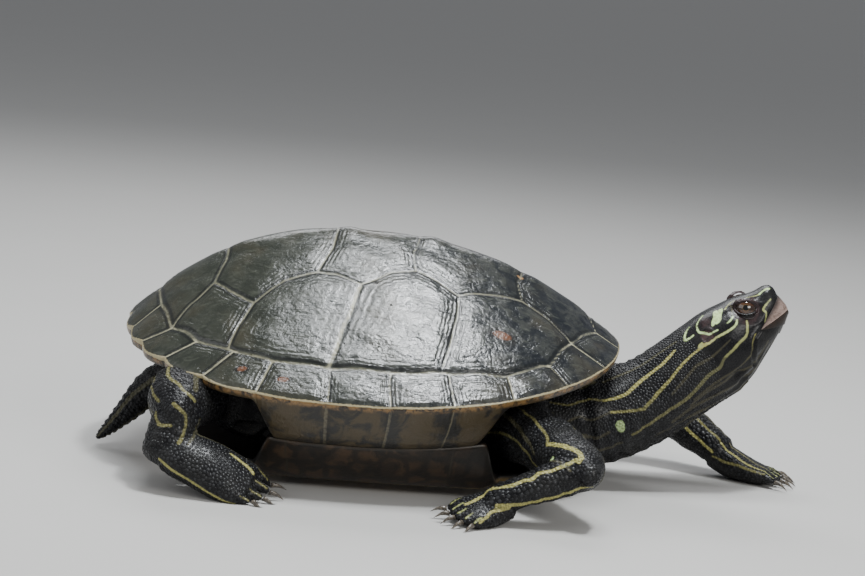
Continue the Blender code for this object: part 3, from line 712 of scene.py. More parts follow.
def on_floor(verts, clear=0.0):
    for vert in verts:
        vert.co.z = max(vert.co.z, clear)


def body_core(bm):
    """The body that fills the shell and shows as skin in its openings."""
    turns = np.linspace(0, 360, 49)[:-1]
    middle = np.array([WIDEST_X, 0.0])
    rings = []
    for share, height in CORE_STEPS:
        ring = bmesh.ops.create_circle(bm, cap_ends=False, segments=len(turns), radius=1.0)["verts"]
        for vert, turn in zip(ring, turns):
            x, y = middle + (outline(np.array([turn]))[0] - middle) * share
            under = {"roof": float(roof_height(x, y)) - CORE_UNDER_ROOF, "rim": float(rim_height(x)) - 2}
            vert.co = shell_place() @ Vector((x, y, under.get(height, height)))
        rings.append(ring)
    bridge(bm, rings)


def add_paw(bm, paw):
    """A hand or foot with its digits, flattened on the floor where it reaches it."""
    before = set(bm.verts)
    rows, places = paw_route(paw, 24)
    tube(bm, rows, places, 36, sink=0.2)
    made = [v for v in bm.verts if v not in before]
    bmesh.ops.translate(bm, vec=Vector((0, 0, -SOLE_SINK)), verts=made)
    on_floor(made)
    before = set(bm.verts)
    for root, stretch, bend in digit_frames(paw):
        rings = []
        for along in np.linspace(0, 1, 9):
            swell = 1.05 + 0.12 * sin(pi * min(1.0, along / 0.75)) * 0.6 + 0.14 * bell(along - 0.45, 0.12)
            swell *= 1 - 0.30 * max(0.0, along - 0.75) / 0.25
            place = root @ Matrix.Translation((stretch * along, 0, 0))
            place = Matrix.Translation((0, 0, bend * along ** 2)) @ place
            rings.append(add_ring(bm, place, *(DIGIT_RADIUS * swell - 0.1,) * 3, 14, 2.0))
        bridge(bm, rings)
    on_floor([v for v in bm.verts if v not in before], DIGIT_CLEAR)


def flesh():
    """Every part of the body, overlapping, before it becomes one skin."""
    bm = bmesh.new()
    body_core(bm)
    rows, places = skull_rows(60)
    tube(bm, rows, places, 64)
    neck = smooth_rows(NECK, 60)
    tube(bm, neck, route_frames(neck, (0, 0, 1)), 64)
    for name in ("tail", *LIMBS):
        route = ROUTES[name]
        tube(bm, route.rows[::2], route.frames[::2], 36, dome=JOINT_DOME if name in LIMBS else 0.0)
    for paw in PAWS.values():
        add_paw(bm, paw)
    return bm


def modified(bm, kind, settings, chosen=None):
    """The mesh after one modifier, which leaves all but the chosen vertices alone where some are chosen."""
    data = as_data("flesh", bm)
    item = add_object("flesh", data)
    step = item.modifiers.new("step", kind)
    for key, value in settings.items():
        setattr(step, key, value)
    if chosen is not None:
        item.vertex_groups.new(name="chosen").add(np.flatnonzero(chosen).tolist(), 1.0, "REPLACE")
        step.vertex_group = "chosen"
    done = bpy.data.meshes.new_from_object(item.evaluated_get(bpy.context.evaluated_depsgraph_get()))
    bpy.data.objects.remove(item, do_unlink=True)
    bpy.data.meshes.remove(data)
    made = bmesh.new()
    made.from_mesh(done)
    bpy.data.meshes.remove(done)
    return made


def head_places(points):
    """Points in the head's own frame: along the skull, to the side (always positive) and up, and which side."""
    turned = np.array(head_frame().inverted())
    local = points @ turned[:3, :3].T + turned[:3, 3]
    return local[:, 0], np.abs(local[:, 1]), local[:, 2], np.where(local[:, 1] > 0, 1, -1)


def eye_measure(ways):
    """For directions out of the eyeball's middle: 1 on the rim of the lids and less inside them, and the rise."""
    level, rise = EYE_RADIUS * (ways @ np.array(EYE_LEVEL)), EYE_RADIUS * (ways @ np.array(EYE_RISE))
    measure = (np.abs(level / LID_LONG) ** LID_POINT + np.abs(rise / LID_HIGH) ** LID_POINT) ** (1 / LID_POINT)
    return measure + 3.0 * smooth(0.25, -0.3, ways @ np.array(EYE_LOOK)), rise


def refine(bm, inside):
    """Halves the faces whose corners all lie inside."""
    picked = {v for v, yes in zip(bm.verts, inside) if yes}
    edges = [e for e in bm.edges if e.verts[0] in picked and e.verts[1] in picked]
    bmesh.ops.subdivide_edges(bm, edges=edges, cuts=1, use_grid_fill=True)


def even_out(bm, verts, rounds):
    for _ in range(rounds):
        bmesh.ops.smooth_vert(bm, verts=verts, factor=0.5, use_axis_x=True, use_axis_y=True, use_axis_z=True)


def near_eye(points, reach):
    along, side, up, _ = head_places(points)
    return np.hypot(along - EYE_PLACE[0], up - EYE_PLACE[2]) < np.where(side > EYE_INNER, reach, 0)


def skin_mesh():
    """One skin: the flesh fused, evened out, made finer on the head, and then given its folds."""
    bm = modified(flesh(), "REMESH", {"mode": "VOXEL", "voxel_size": SKIN_VOXEL})
    even_out(bm, bm.verts, 3)
    along, _, up, _ = head_places(coordinates(bm))
    refine(bm, (along > FINE_HEAD[0]) & (along < FINE_HEAD[1]) & (up > FINE_HEAD[2]))
    even_out(bm, [v for v, yes in zip(bm.verts, near_eye(coordinates(bm), EVEN_FIELD)) if yes], 1)
    refine(bm, near_eye(coordinates(bm), LID_FIELD))
    bm.normal_update()
    places = shape_head(coordinates(bm), normals_of(bm))
    put_coordinates(bm, places)
    bm.normal_update()
    places = shape_folds(places, normals_of(bm))
    places[:, 2] = np.maximum(places[:, 2], 0.0)
    put_coordinates(bm, places)
    bmesh.ops.recalc_face_normals(bm, faces=bm.faces)
    bm.normal_update()
    return bm


def shape_lids(along, side, up):
    """Lays the skin over the eyeball with a thick rim and creases, and opens it where the eye shows. Gives the new
    places, and last the share by which each point was drawn to them."""
    outwards = np.stack([along - EYE_PLACE[0], side - EYE_PLACE[1], up - EYE_PLACE[2]], axis=1)
    distance = np.linalg.norm(outwards, axis=1)
    outwards /= np.maximum(distance, 1e-6)[:, None]
    measure, rise = eye_measure(outwards)
    by_eye = (side > EYE_INNER) & (distance < LID_FIELD)
    under = smooth(0.5, -0.5, rise)
    past_rim = measure - LID_RIM
    lid = EYE_RADIUS + 0.30 + 0.42 * bell(past_rim, 0.13) + 0.30 * (1 - under) * bell(measure - 1.3, 0.3)
    creases = 0.16 * np.sin(past_rim * 2 * pi / LID_CREASE + pi / 2) * smooth(1.2, 1.35, measure)
    lid = lid + creases * (0.5 + 0.5 * under)
    opened = smooth(1.05, 0.95, measure)
    close = smooth(2.15, 1.45, measure) * smooth(8.5, 6.5, distance)
    reach = distance + (lid - distance) * close
    reach = reach * (1 - opened) + (EYE_RADIUS - 1.0) * opened
    moved = np.array(EYE_PLACE) + outwards * reach[:, None]
    return *(np.where(by_eye, moved[:, k], value) for k, value in enumerate((along, side, up))), close * by_eye


def shape_head(places, normals):
    """Gives the head its lids, and pushes small forms out of it or into it along its normals."""
    along, side, up, sign = head_places(places)
    on_head = smooth(-44, -36, along) * (up > -40)
    along, side, up, drawn = shape_lids(along, side, up)
    local = np.stack([along, side * sign, up], axis=1)
    on_side = smooth(6, 9, side)
    by_side, by_top = np.stack([along, up], axis=1), np.stack([along, side], axis=1)
    # ridge of the snout, its tip, and the swelling over the eye
    push = 0.8 * bell(side, 5.5) * smooth(8, 11, up) * smooth(-27, -20, along)
    push += 1.2 * bell(np.hypot(along + 5.2, up - 11.0), 3.2)
    push += 0.45 * bell(np.hypot(along + 19.5, up - 12.2), 3.0) * bell(side - 6.5, 2.6)
    nostril = np.sqrt((along - NOSTRIL[0]) ** 2 + (side - NOSTRIL[1]) ** 2 + (up - NOSTRIL[2]) ** 2)
    push += -1.3 * bell(nostril, 0.75) + 0.30 * bell(nostril - 1.4, 0.5)
    drum = np.hypot(along - TYMPANUM[0], up - TYMPANUM[1])
    sunk = -0.45 * smooth(TYMPANUM[2] + 0.5, TYMPANUM[2] - 0.9, drum)
    push += on_side * (sunk + 0.22 * bell(drum - TYMPANUM[2] - 0.5, 0.6))
    crease = line_distance(by_side, [MOUTH_CREASE])
    push += on_side * (-0.50 * bell(crease, 0.6) + 0.28 * bell(crease - 1.3, 0.8))
    push += 0.7 * bell(np.hypot((along + 25) / 6.5, (up + 6) / 5.5), 1.0) * on_side
    push += on_side * -0.28 * bell(line_distance(by_side, [JAW_LINE]), 1.1)
    push += 0.28 * bell(line_distance(by_top, [BROW_LINE]), 1.2) * smooth(8.5, 10.5, up) * (1 - drawn)
    push += 0.22 * smooth(-6, -14, up) * np.sin(side * 2 * pi / 3.4 + 0.8 * waves(local, 14.0, 12))
    turned = np.array(head_frame())
    return local @ turned[:3, :3].T + turned[:3, 3] + normals * (push * on_head)[:, None]


def parts_of(places):
    """Which route each point belongs to ("body" where none), its place along and round it, and the way ahead."""
    names = np.array([*ROUTES, "body"])
    along, around, share, ahead = (np.array(k) for k in zip(*[route.locate(places) for route in ROUTES.values()]))
    pick = share.argmin(axis=0), np.arange(len(places))
    return names[np.where(share[pick] > BODY_REACH, len(ROUTES), pick[0])], along[pick], around[pick], ahead[pick]


def shape_folds(places, normals):
    """Loose skin: rings of folds that are deeper towards the shell, finer lengthwise ones under the throat, and
    shallow wrinkles elsewhere."""
    part, t, around, _ = parts_of(places)
    bend = np.radians(around)
    neck, paw, limb = part == "neck", np.isin(part, list(PAWS)), np.isin(part, list(LIMBS))
    upper = np.isin(part, [n for n in LIMBS if "upper" in n or "thigh" in n])
    swing = waves(places, 24.0, 21)
    folds = 0.42 * np.sin(t * 2 * pi * 15 + 1.8 * swing) * (0.5 + 0.5 * np.sin(bend * 2 + swing))
    push = neck * smooth(0.95, 0.35, t) * folds
    push += neck * smooth(95, 140, np.abs(around)) * 0.35 * np.sin(bend * 22 + 1.5 * waves(places, 18.0, 22))
    push += neck * (0.5 * bell(t - 0.30, 0.045) - 0.6 * bell(t - 0.24, 0.03))
    push += upper * 0.38 * np.sin(t * 2 * pi * 7 + 2.0 * waves(places, 17.0, 23)) * smooth(0.9, 0.4, t)
    push += (limb & ~upper) * 0.16 * np.sin(t * 2 * pi * 6 + 1.6 * waves(places, 13.0, 24))
    push += (part == "body") * 0.45 * np.sin(waves(places, 15.0, 25) * 6.0)
    push += paw * 0.12 * waves(places, 5.0, 26)
    push += (part == "tail") * 0.22 * np.sin(t * 2 * pi * 14)
    return places + normals * (push * smooth(0.2, 2.0, places[:, 2]))[:, None]


# ---------------------------------------------------------------- markings
# Each stripe is a row of places: how far along (a share of the neck or limb, or for 0 and under millimetres along
# the skull), degrees round from the top, and half its width. Before them stands its tone: how bright and how pale
# it is, or two of these where it changes from one end to the other.
YELLOW, DIM, PALE, OLIVE, MOSS = (0.75, 0.0), (0.24, 0.3), (1.0, 1.0), (0.62, 0.3), (0.37, 0.0)
HEAD_FINE = 0.68                         # stripes on the skull are this much finer than the rows say
DIM_WIDER = 1.35                         # and dim ones this much wider
STRIPE_STEP = 0.35
NECK_STRIPES = (
    (PALE, ((-4.0, 20, 0.9), (-6.5, 24, 0.75), (-9.6, 27, 0.7))),
    (OLIVE, ((-9.6, 27, 0.5), (-12, 23, 0.35), (-15, 17, 0.3), (-19, 14, 0.3), (-22, 17, 0.4),
             (-24.5, 26, 0.55))),
    (PALE, ((-26.5, 23, 1.55), (-28.0, 33, 1.5), (-29.2, 42, 1.3), (-30.4, 46, 1.0))),
    (PALE, ((-28.6, 21.5, 1.5), (-30.0, 32, 1.5), (-31.2, 41, 1.2), (-31.8, 46, 0.9))),
    (PALE, ((-34.0, 12, 0.5), (0.98, 24, 0.4), (0.97, 39, 0.45), (0.99, 47, 0.5), (-34.6, 58, 0.6),
            (-31.3, 59, 0.5))),
    (PALE, ((0.94, 17, 0.35), (0.92, 22, 0.45), (0.89, 36, 0.55), (0.93, 38, 0.4))),
    (DIM, ((-21.9, 20, 0.4), (-22.6, 34, 0.4), (-23.3, 46, 0.4))),
    (PALE, ((-23.3, 50, 0.45), (-24.6, 55, 0.5), (-26.5, 57, 0.4))),
    ((PALE, YELLOW), ((-21.9, 60, 0.55), (-23.3, 66, 0.65), (-25.9, 70, 0.75), (-30, 70, 0.75),
                      (-35.5, 69, 0.75), (0.95, 61, 0.8))),
    (OLIVE, ((0.945, 60, 1.4), (0.93, 60, 1.2))),
    ((OLIVE, YELLOW), ((-18.2, 72, 0.6), (-19.4, 82, 0.75), (-21.2, 92, 0.8), (-24.6, 93, 0.85),
                       (-28.2, 95, 0.85), (-32.7, 98, 0.8), (0.95, 95, 0.75), (0.89, 95, 0.75),
                       (0.84, 99, 0.8), (0.78, 103, 0.8), (0.73, 104, 0.75), (0.68, 103, 0.7),
                       (0.62, 103, 0.7), (0.56, 105, 0.65), (0.46, 110, 0.6))),
    ((YELLOW, DIM), ((-17.7, 100, 0.9), (-19.8, 106, 1.0), (-21.2, 113, 0.8), (-26, 117, 0.6),
                     (-30.6, 117, 0.55), (0.93, 109, 0.55), (0.87, 109, 0.55), (0.78, 112, 0.5))),
    (DIM, ((-28, 84, 0.3), (0.96, 80, 0.4), (0.9, 79, 0.45), (0.87, 78, 0.45), (0.81, 83, 0.45),
           (0.76, 86, 0.45), (0.71, 89, 0.4))),
    (YELLOW, ((0.93, 62, 0.4), (0.89, 62, 0.5), (0.84, 64, 0.55), (0.79, 68, 0.55), (0.75, 72, 0.6),
              (0.7, 75, 0.7), (0.65, 78, 0.75), (0.62, 81, 0.75), (0.57, 85, 0.75), (0.54, 86, 0.7),
              (0.45, 80, 0.6), (0.38, 76, 0.5))),
    (YELLOW, ((0.83, 40, 0.5), (0.79, 44, 0.7), (0.75, 47, 0.65), (0.68, 48, 0.7), (0.6, 51, 0.75),
              (0.55, 55, 0.75), (0.5, 60, 0.7), (0.44, 61, 0.65), (0.36, 60, 0.5))),
    (DIM, ((0.86, 27, 0.4), (0.75, 26, 0.45), (0.62, 26, 0.5), (0.5, 28, 0.5), (0.4, 32, 0.45))),
    (DIM, ((-13.2, 130, 0.5), (-18.4, 136, 0.55), (-24, 131, 0.55), (-30.6, 122, 0.5), (0.93, 116, 0.5),
           (0.84, 114, 0.5), (0.75, 117, 0.45))),
    (DIM, ((-10.5, 152, 0.5), (-15.1, 146, 0.55), (-21.9, 146, 0.6), (-30, 138, 0.6), (0.93, 132, 0.55),
           (0.86, 127, 0.55), (0.76, 121, 0.5), (0.64, 122, 0.5))),
    (DIM, ((-14, 166, 0.6), (-24, 163, 0.7), (0.97, 158, 0.7), (0.86, 148, 0.6), (0.76, 139, 0.6),
           (0.66, 133, 0.55), (0.56, 131, 0.5))),
    (DIM, ((0.9, 172, 0.6), (0.75, 160, 0.6), (0.62, 152, 0.6), (0.48, 148, 0.5))),
    (PALE, ((0.42, 92, 1.9), (0.415, 96, 1.7))),
    (OLIVE, ((-6, 60, 0.45), (-10.1, 72, 0.6), (-9.8, 86, 0.55), (-12, 96, 0.45))),
    (MOSS, ((0.36, 60, 0.5), (0.24, 54, 0.5), (0.16, 58, 0.5), (0.08, 52, 0.4))),
    (MOSS, ((0.38, 76, 0.5), (0.26, 80, 0.5), (0.2, 74, 0.5), (0.12, 80, 0.5), (0.05, 76, 0.4))),
    (DIM, ((0.35, 96, 0.5), (0.27, 100, 0.5), (0.2, 94, 0.5), (0.12, 100, 0.5), (0.05, 98, 0.4))),
    (DIM, ((0.4, 116, 0.5), (0.3, 118, 0.5), (0.2, 114, 0.5), (0.1, 118, 0.4))),
    (DIM, ((0.34, 30, 0.45), (0.24, 34, 0.5), (0.14, 30, 0.5), (0.05, 34, 0.4))),
)
LIMB_STRIPES = {
    "right_upper_arm": ((YELLOW, ((0.50, -60, 0.8), (0.57, -46, 1.0), (0.68, -33, 1.1), (0.80, -24, 1.0),
                                  (0.88, -26, 1.0))),
                        (YELLOW, ((0.88, -26, 1.0), (0.92, -44, 0.9))),
                        (PALE, ((0.62, -84, 1.4), (0.625, -86, 1.3))),
                        (MOSS, ((0.1, -22, 0.5), (0.3, -30, 0.6), (0.45, -44, 0.6), (0.5, -60, 0.7))),
                        (DIM, ((0.05, -48, 0.5), (0.2, -56, 0.6), (0.34, -72, 0.6), (0.44, -92, 0.5))),
                        (MOSS, ((0.08, -96, 0.5), (0.2, -86, 0.6), (0.34, -92, 0.6), (0.42, -112, 0.6),
                                (0.5, -130, 0.5))),
                        (DIM, ((0.62, -104, 0.5), (0.74, -96, 0.5), (0.86, -92, 0.5))),
                        (DIM, ((0.1, 40, 0.8), (0.4, 45, 0.8), (0.7, 60, 0.8), (0.92, 120, 0.8)))),
    "right_forearm": ((YELLOW, ((0.10, 36, 0.8), (0.20, 38, 0.8), (0.32, 36, 0.75), (0.42, 27, 0.8),
                                (0.45, 27, 0.9), (0.51, 38, 0.8), (0.60, 29, 0.8), (0.70, 32, 0.85),
                                (0.80, 17, 0.8), (0.93, 5, 0.8))),
                      (YELLOW, ((0.0, 118, 0.7), (0.23, 123, 0.75), (0.45, 124, 0.8), (0.6, 122, 0.8),
                                (0.78, 102, 0.8), (0.95, 84, 0.7)))),
    "right_hand": ((YELLOW, ((0.25, -18, 0.8), (0.42, -19, 0.8), (0.7, -12, 0.8), (0.95, -12, 0.7))),
                   (YELLOW, ((0.2, 62, 0.7), (0.3, 58, 0.7), (0.57, 43, 0.6), (0.73, 54, 0.6),
                             (0.97, 70, 0.55)))),
    "left_upper_arm": ((DIM, ((0.2, -25, 0.8), (0.5, -32, 0.8), (0.9, -38, 0.8))),
                       (DIM, ((0.2, -70, 0.7), (0.5, -78, 0.7), (0.9, -84, 0.7)))),
    "left_forearm": ((MOSS, ((0.0, -34, 0.5), (0.3, -40, 0.55), (0.6, -45, 0.6), (0.95, -44, 0.6))),
                     (YELLOW, ((0.1, -84, 0.5), (0.4, -86, 0.6), (0.68, -88, 0.65), (0.97, -96, 0.6))),
                     (DIM, ((0.1, -5, 0.5), (0.5, -2, 0.6), (0.95, 0, 0.6))),
                     (DIM, ((0.1, 35, 0.6), (0.5, 38, 0.6), (0.95, 36, 0.6)))),
    "left_hand": ((YELLOW, ((0.1, -50, 0.5), (0.35, -48, 0.6), (0.5, -52, 0.6), (0.67, -52, 0.6),
                            (0.95, -46, 0.5))),
                  (MOSS, ((0.1, -104, 0.5), (0.3, -100, 0.6), (0.45, -92, 0.6), (0.6, -86, 0.6),
                          (0.75, -80, 0.55), (0.97, -74, 0.5))),
                  (MOSS, ((0.2, -12, 0.5), (0.45, -12, 0.55), (0.7, -18, 0.55), (0.97, -18, 0.5))),
                  (DIM, ((0.2, 20, 0.5), (0.6, 24, 0.6), (0.97, 24, 0.5)))),
    "thigh": ((MOSS, ((0.35, -32, 0.65), (0.55, -24, 0.7), (0.7, -15, 0.7), (0.8, 0, 0.7), (0.88, 16, 0.65),
                      (0.9, 60, 0.8))),
              (MOSS, ((0.2, -58, 0.65), (0.45, -62, 0.7), (0.7, -64, 0.7), (0.9, -66, 0.65))),
              (DIM, ((0.2, -92, 0.8), (0.5, -96, 0.8), (0.85, -104, 0.8))),
              (MOSS, ((0.3, -125, 0.65), (0.6, -124, 0.7), (0.85, -130, 0.7))),
              (DIM, ((0.2, 20, 0.8), (0.5, 24, 0.8), (0.8, 40, 0.8)))),
    "shank": ((DIM, ((0.1, -20, 0.4), (0.4, -24, 0.5), (0.8, -22, 0.4))),
              (MOSS, ((0.05, -100, 0.8), (0.2, -70, 0.65), (0.45, -58, 0.65), (0.7, -60, 0.8))),
              (MOSS, ((0.3, -150, 0.65), (0.5, -120, 0.7), (0.45, -92, 0.65))),
              (DIM, ((0.1, 60, 0.8), (0.5, 66, 0.8), (0.9, 70, 0.8)))),
    "foot": ((YELLOW, ((0.02, -70, 0.5), (0.15, -80, 0.65), (0.35, -86, 0.6), (0.55, -88, 0.55),
                       (0.75, -88, 0.5), (0.95, -86, 0.4))),
             (YELLOW, ((0.68, 30, 0.6), (0.78, 28, 0.7), (0.9, 22, 0.75), (0.99, 16, 0.7))),
             (DIM, ((0.3, 50, 0.7), (0.6, 62, 0.7), (0.95, 72, 0.6)))),
    "tail": ((DIM, ((0.05, 50, 0.8), (0.4, 52, 0.7), (0.7, 55, 0.5), (0.95, 60, 0.3))),
             (DIM, ((0.05, 140, 0.8), (0.4, 142, 0.7), (0.7, 145, 0.5), (0.95, 150, 0.3)))),
}


def stripe_lines():
    """Every stripe as (tone, places in the world, half widths), on both sides of the body."""
    head_along = np.array([row[0] for row in ROUTES["head"].rows])

    def on_neck(along, around):
        if along > 0:
            return ROUTES["neck"].point(along, around)
        return ROUTES["head"].point(float(np.abs(head_along - along).argmin()) / (len(head_along) - 1), around)

    for tone, row in NECK_STRIPES:
        for sign in (-1, 1):
            places = [on_neck(along, sign * around) for along, around, _ in row]
            yield tone, places, [w * (HEAD_FINE if along <= 0 else 1) for along, _, w in row]
    for name, stripes in LIMB_STRIPES.items():
        if name == "tail":
            sides = ((name, 1), (name, -1))
        else:
            sides = ((name, 1),) if name in ROUTES else (("right_" + name, 1), ("left_" + name, -1))
        for (part, sign), (tone, row) in product(sides, stripes):
            yield tone, [ROUTES[part].point(t, sign * around) for t, around, _ in row], [w for _, _, w in row]
    for name, paw in PAWS.items():
        for root, stretch, bend in digit_frames(paw):
            top = [Matrix.Translation((0, 0, bend * t * t)) @ root @ Vector((stretch * t, 0, 2.0))
                   for t in (0.3, 0.6, 0.9)]
            yield (MOSS if "foot" in name else OLIVE), [np.array(place[:]) for place in top], (0.3, 0.45, 0.45)


def tree_of(points):
    tree = KDTree(len(points))
    for i, place in enumerate(points):
        tree.insert(place, i)
    tree.balance()
    return tree


class Markings:
    """The skin's stripes, laid on its surface, and what any point near it is painted with."""

    def __init__(self, bm):
        tree = BVHTree.FromBMesh(bm)
        samples, widths, tones = [], [], []
        for tone, places, wide in stripe_lines():
            first, last = tone if isinstance(tone[0], tuple) else (tone, tone)
            rows = [(*place, w) for place, w in zip(places, wide)]
            length = sum(np.linalg.norm(b - a) for a, b in zip(places, places[1:]))
            rows = smooth_rows(rows, max(3, int(length / STRIPE_STEP)))
            for i, row in enumerate(rows):
                samples.append(tree.find_nearest(Vector(row[:3]))[0])
                widths.append(row[3] * (DIM_WIDER if first == DIM else 1.0))
                tones.append(np.array(first) + (np.array(last) - np.array(first)) * i / (len(rows) - 1))
        self.widths, self.tones = np.array(widths), np.array(tones)
        self.near = tree_of(samples)

    def at(self, points):
        """How far outside the nearest stripe, how bright and pale that stripe is, dimmed under the neck and head
        partly as painted shade, and the brown patches' share.
        """
        found = [self.near.find(place)[1:] for place in points]
        index = np.array([i for i, _ in found])
        stripe = np.array([d for _, d in found]) - self.widths[index]
        along, side, up, _ = head_places(points)
        drum = np.hypot(along - TYMPANUM[0], up - TYMPANUM[1])
        part, _, around, _ = parts_of(points)
        # stripes on the underside of the neck and head are dimmed: partly their own duller tone, partly painted
        # shade
        shade = 1 - 0.55 * smooth(70, 115, np.abs(around) + 25 * (part == "neck")) * np.isin(part, ("neck", "head"))
        warm = smooth(TYMPANUM[2] + 0.6, TYMPANUM[2] - 1.0, drum)
        warm = warm + 0.55 * bell(np.hypot(along + 34.3, up - 9.6), 2.2)
        warm = warm + 0.5 * bell(np.hypot(along - EYE_PLACE[0], up - EYE_PLACE[2]) - EYE_RADIUS, 1.3)
        return dict(stripe=np.clip(stripe, -3, 5), bright=self.tones[index, 0] * shade, pale=self.tones[index, 1],
                    warm=np.clip(warm, 0, 1) * (side > 4) * (along > -40))


# ---------------------------------------------------------------- scales
# For each part: the distance between scales, their height and how far their tips are raised.
SCALE_SIZES = {"neck": (1.05, 0.17, 0.0), "tail": (1.25, 0.15, 0.10), "upper": (1.15, 0.11, 0.04),
               "lower": (1.25, 0.12, 0.08), "paw": (1.10, 0.10, 0.05)}
SCALE_SIDES = 6
SCALE_RINGS = ((0.98, -0.5), (0.82, 0.72))   # share of the way to the neighbours, and share of the height
SCALE_REACH = 0.78                       # no side reaches farther than this share of the distance between scales
NEIGHBOURS = 10
TRIES = 3                                # places tried on each face
SEARCH_CELL = 2.4                        # more than any distance between scales
PATCH_SIZES = (0.0015, 0.0012)


def scale_kind(part):
    if part in ("neck", "tail"):
        return part
    if "arm" in part or "thigh" in part or "shank" in part:
        return "lower" if "forearm" in part or "shank" in part else "upper"
    return "paw"


def scale_spacing(face_part, centres):
    """The distance between scales on each face: finer towards the head and on the inner side of the lower limbs."""
    spacing = np.array([SCALE_SIZES[scale_kind(p)][0] for p in face_part])
    part, t, around, _ = parts_of(centres)
    neck, turned = part == "neck", np.abs(around)
    lower = np.isin(part, [n for n in LIMBS if scale_kind(n) == "lower"])
    wide = np.where(neck, 1.0 - 0.22 * smooth(0.6, 1.0, t), 1.0)
    wide *= np.where(neck & (turned > 105), 0.95, 1.0)
    wide *= np.where(lower, 0.8 + 0.35 * (turned < 90), 1.0)
    return spacing * wide * 1.0


def scatter(faces, gaps, rng):
    """Places spread over the faces, each at least its own gap from the rest, with their normals and gaps."""
    corners = np.array([[f.verts[min(k, len(f.verts) - 1)].co[:] for k in range(4)] for f in faces])
    normals = np.array([f.normal[:] for f in faces])
    which = np.repeat(np.arange(len(faces)), TRIES)
    u, v = (rng.random(len(which))[:, None] for _ in range(2))
    first, second, third, fourth = (corners[which, k] for k in range(4))
    points = (first * (1 - u) + second * u) * (1 - v) + (fourth * (1 - u) + third * u) * v
    steps = list(product((-1, 0, 1), repeat=3))
    taken, kept = {}, []
    for i in rng.permutation(len(points)):
        x, y, z = place = points[i].tolist()
        room = float(gaps[which[i]]) ** 2
        a, b, c = (int(value // SEARCH_CELL) for value in place)
        if all((px - x) ** 2 + (py - y) ** 2 + (pz - z) ** 2 >= room for da, db, dc in steps
               for px, py, pz in taken.get((a + da, b + db, c + dc), ())):
            taken.setdefault((a, b, c), []).append(place)
            kept.append(i)
    return points[kept], normals[which[kept]], gaps[which[kept]]


def scale_domes(points, normals, ahead, gaps, height, raised):
    """Every scale's points as two rings and a top, which fit together like paving, and how high on its scale each
    point is."""
    forward = ahead - normals * (ahead * normals).sum(axis=1)[:, None]
    forward /= np.maximum(np.linalg.norm(forward, axis=1), 1e-6)[:, None]
    across = np.cross(normals, forward)
    near = tree_of(points)
    neighbours = np.array([[j for _, j, _ in near.find_n(place, NEIGHBOURS + 1)][1:] for place in points])
    offset = points[neighbours] - points[:, None]
    flat = np.stack([np.einsum("nkj,nj->nk", offset, way) for way in (forward, across)], axis=-1)
    half = (flat ** 2).sum(axis=2) / 2
    turns = np.linspace(0, 2 * pi, SCALE_SIDES + 1)[:-1]
    facing = np.einsum("nkj,dj->nkd", flat, np.stack([np.cos(turns), np.sin(turns)], axis=1))
    extent = np.where(facing > 1e-6, half[:, :, None] / np.maximum(facing, 1e-6), 1e9).min(axis=1)
    extent = np.minimum(extent, gaps[:, None] * SCALE_REACH)
    verts, levels = [], []
    to_tip = np.maximum(0, np.cos(turns))[None]
    for share, level in SCALE_RINGS:
        reach = extent * share * (1 + 0.10 * to_tip * (raised[:, None] > 0) * (level > 0))
        rise = height[:, None] * level + (raised[:, None] * to_tip * (0.8 if level > 0 else 0))
        verts.append(points[:, None] + forward[:, None] * (reach * np.cos(turns))[..., None]
                     + across[:, None] * (reach * np.sin(turns))[..., None] + normals[:, None] * rise[..., None])
        levels.append(np.full(reach.shape, max(0.0, level)))
    verts.append((points + normals * (height + raised * 0.25)[:, None])[:, None])
    levels.append(np.full((len(points), 1), 1.0))
    verts = np.concatenate(verts, axis=1)
    verts[..., 2] = np.maximum(verts[..., 2], 0.0)
    return verts, np.concatenate(levels, axis=1)


def unwrap_scales(data, part, t, around, route_names):
    """The OFBake map: a strip for each part, round it and along it, with one small patch for each scale."""
    order = {route: k for k, route in enumerate(route_names)}
    strip = np.array([order.get(p, 0) for p in part])
    root = np.stack([(strip + 0.04 + 0.92 * (around / 360 + 0.5)) / len(order), 0.02 + 0.96 * t], axis=1)
    turns = np.linspace(0, 2 * pi, SCALE_SIDES + 1)[:-1]
    ring = np.stack([np.cos(turns), np.sin(turns)], axis=1)
    patch = np.concatenate([*(ring * size for size in PATCH_SIZES), [[0.0, 0.0]]])
    places = (root[:, None] + patch[None]).reshape(-1, 2)
    layer = data.uv_layers.new(name="OFBake")
    index = np.empty(len(data.loops), dtype=np.int32)
    data.loops.foreach_get("vertex_index", index)
    layer.data.foreach_set("uv", places[index].astype(np.float32).ravel())


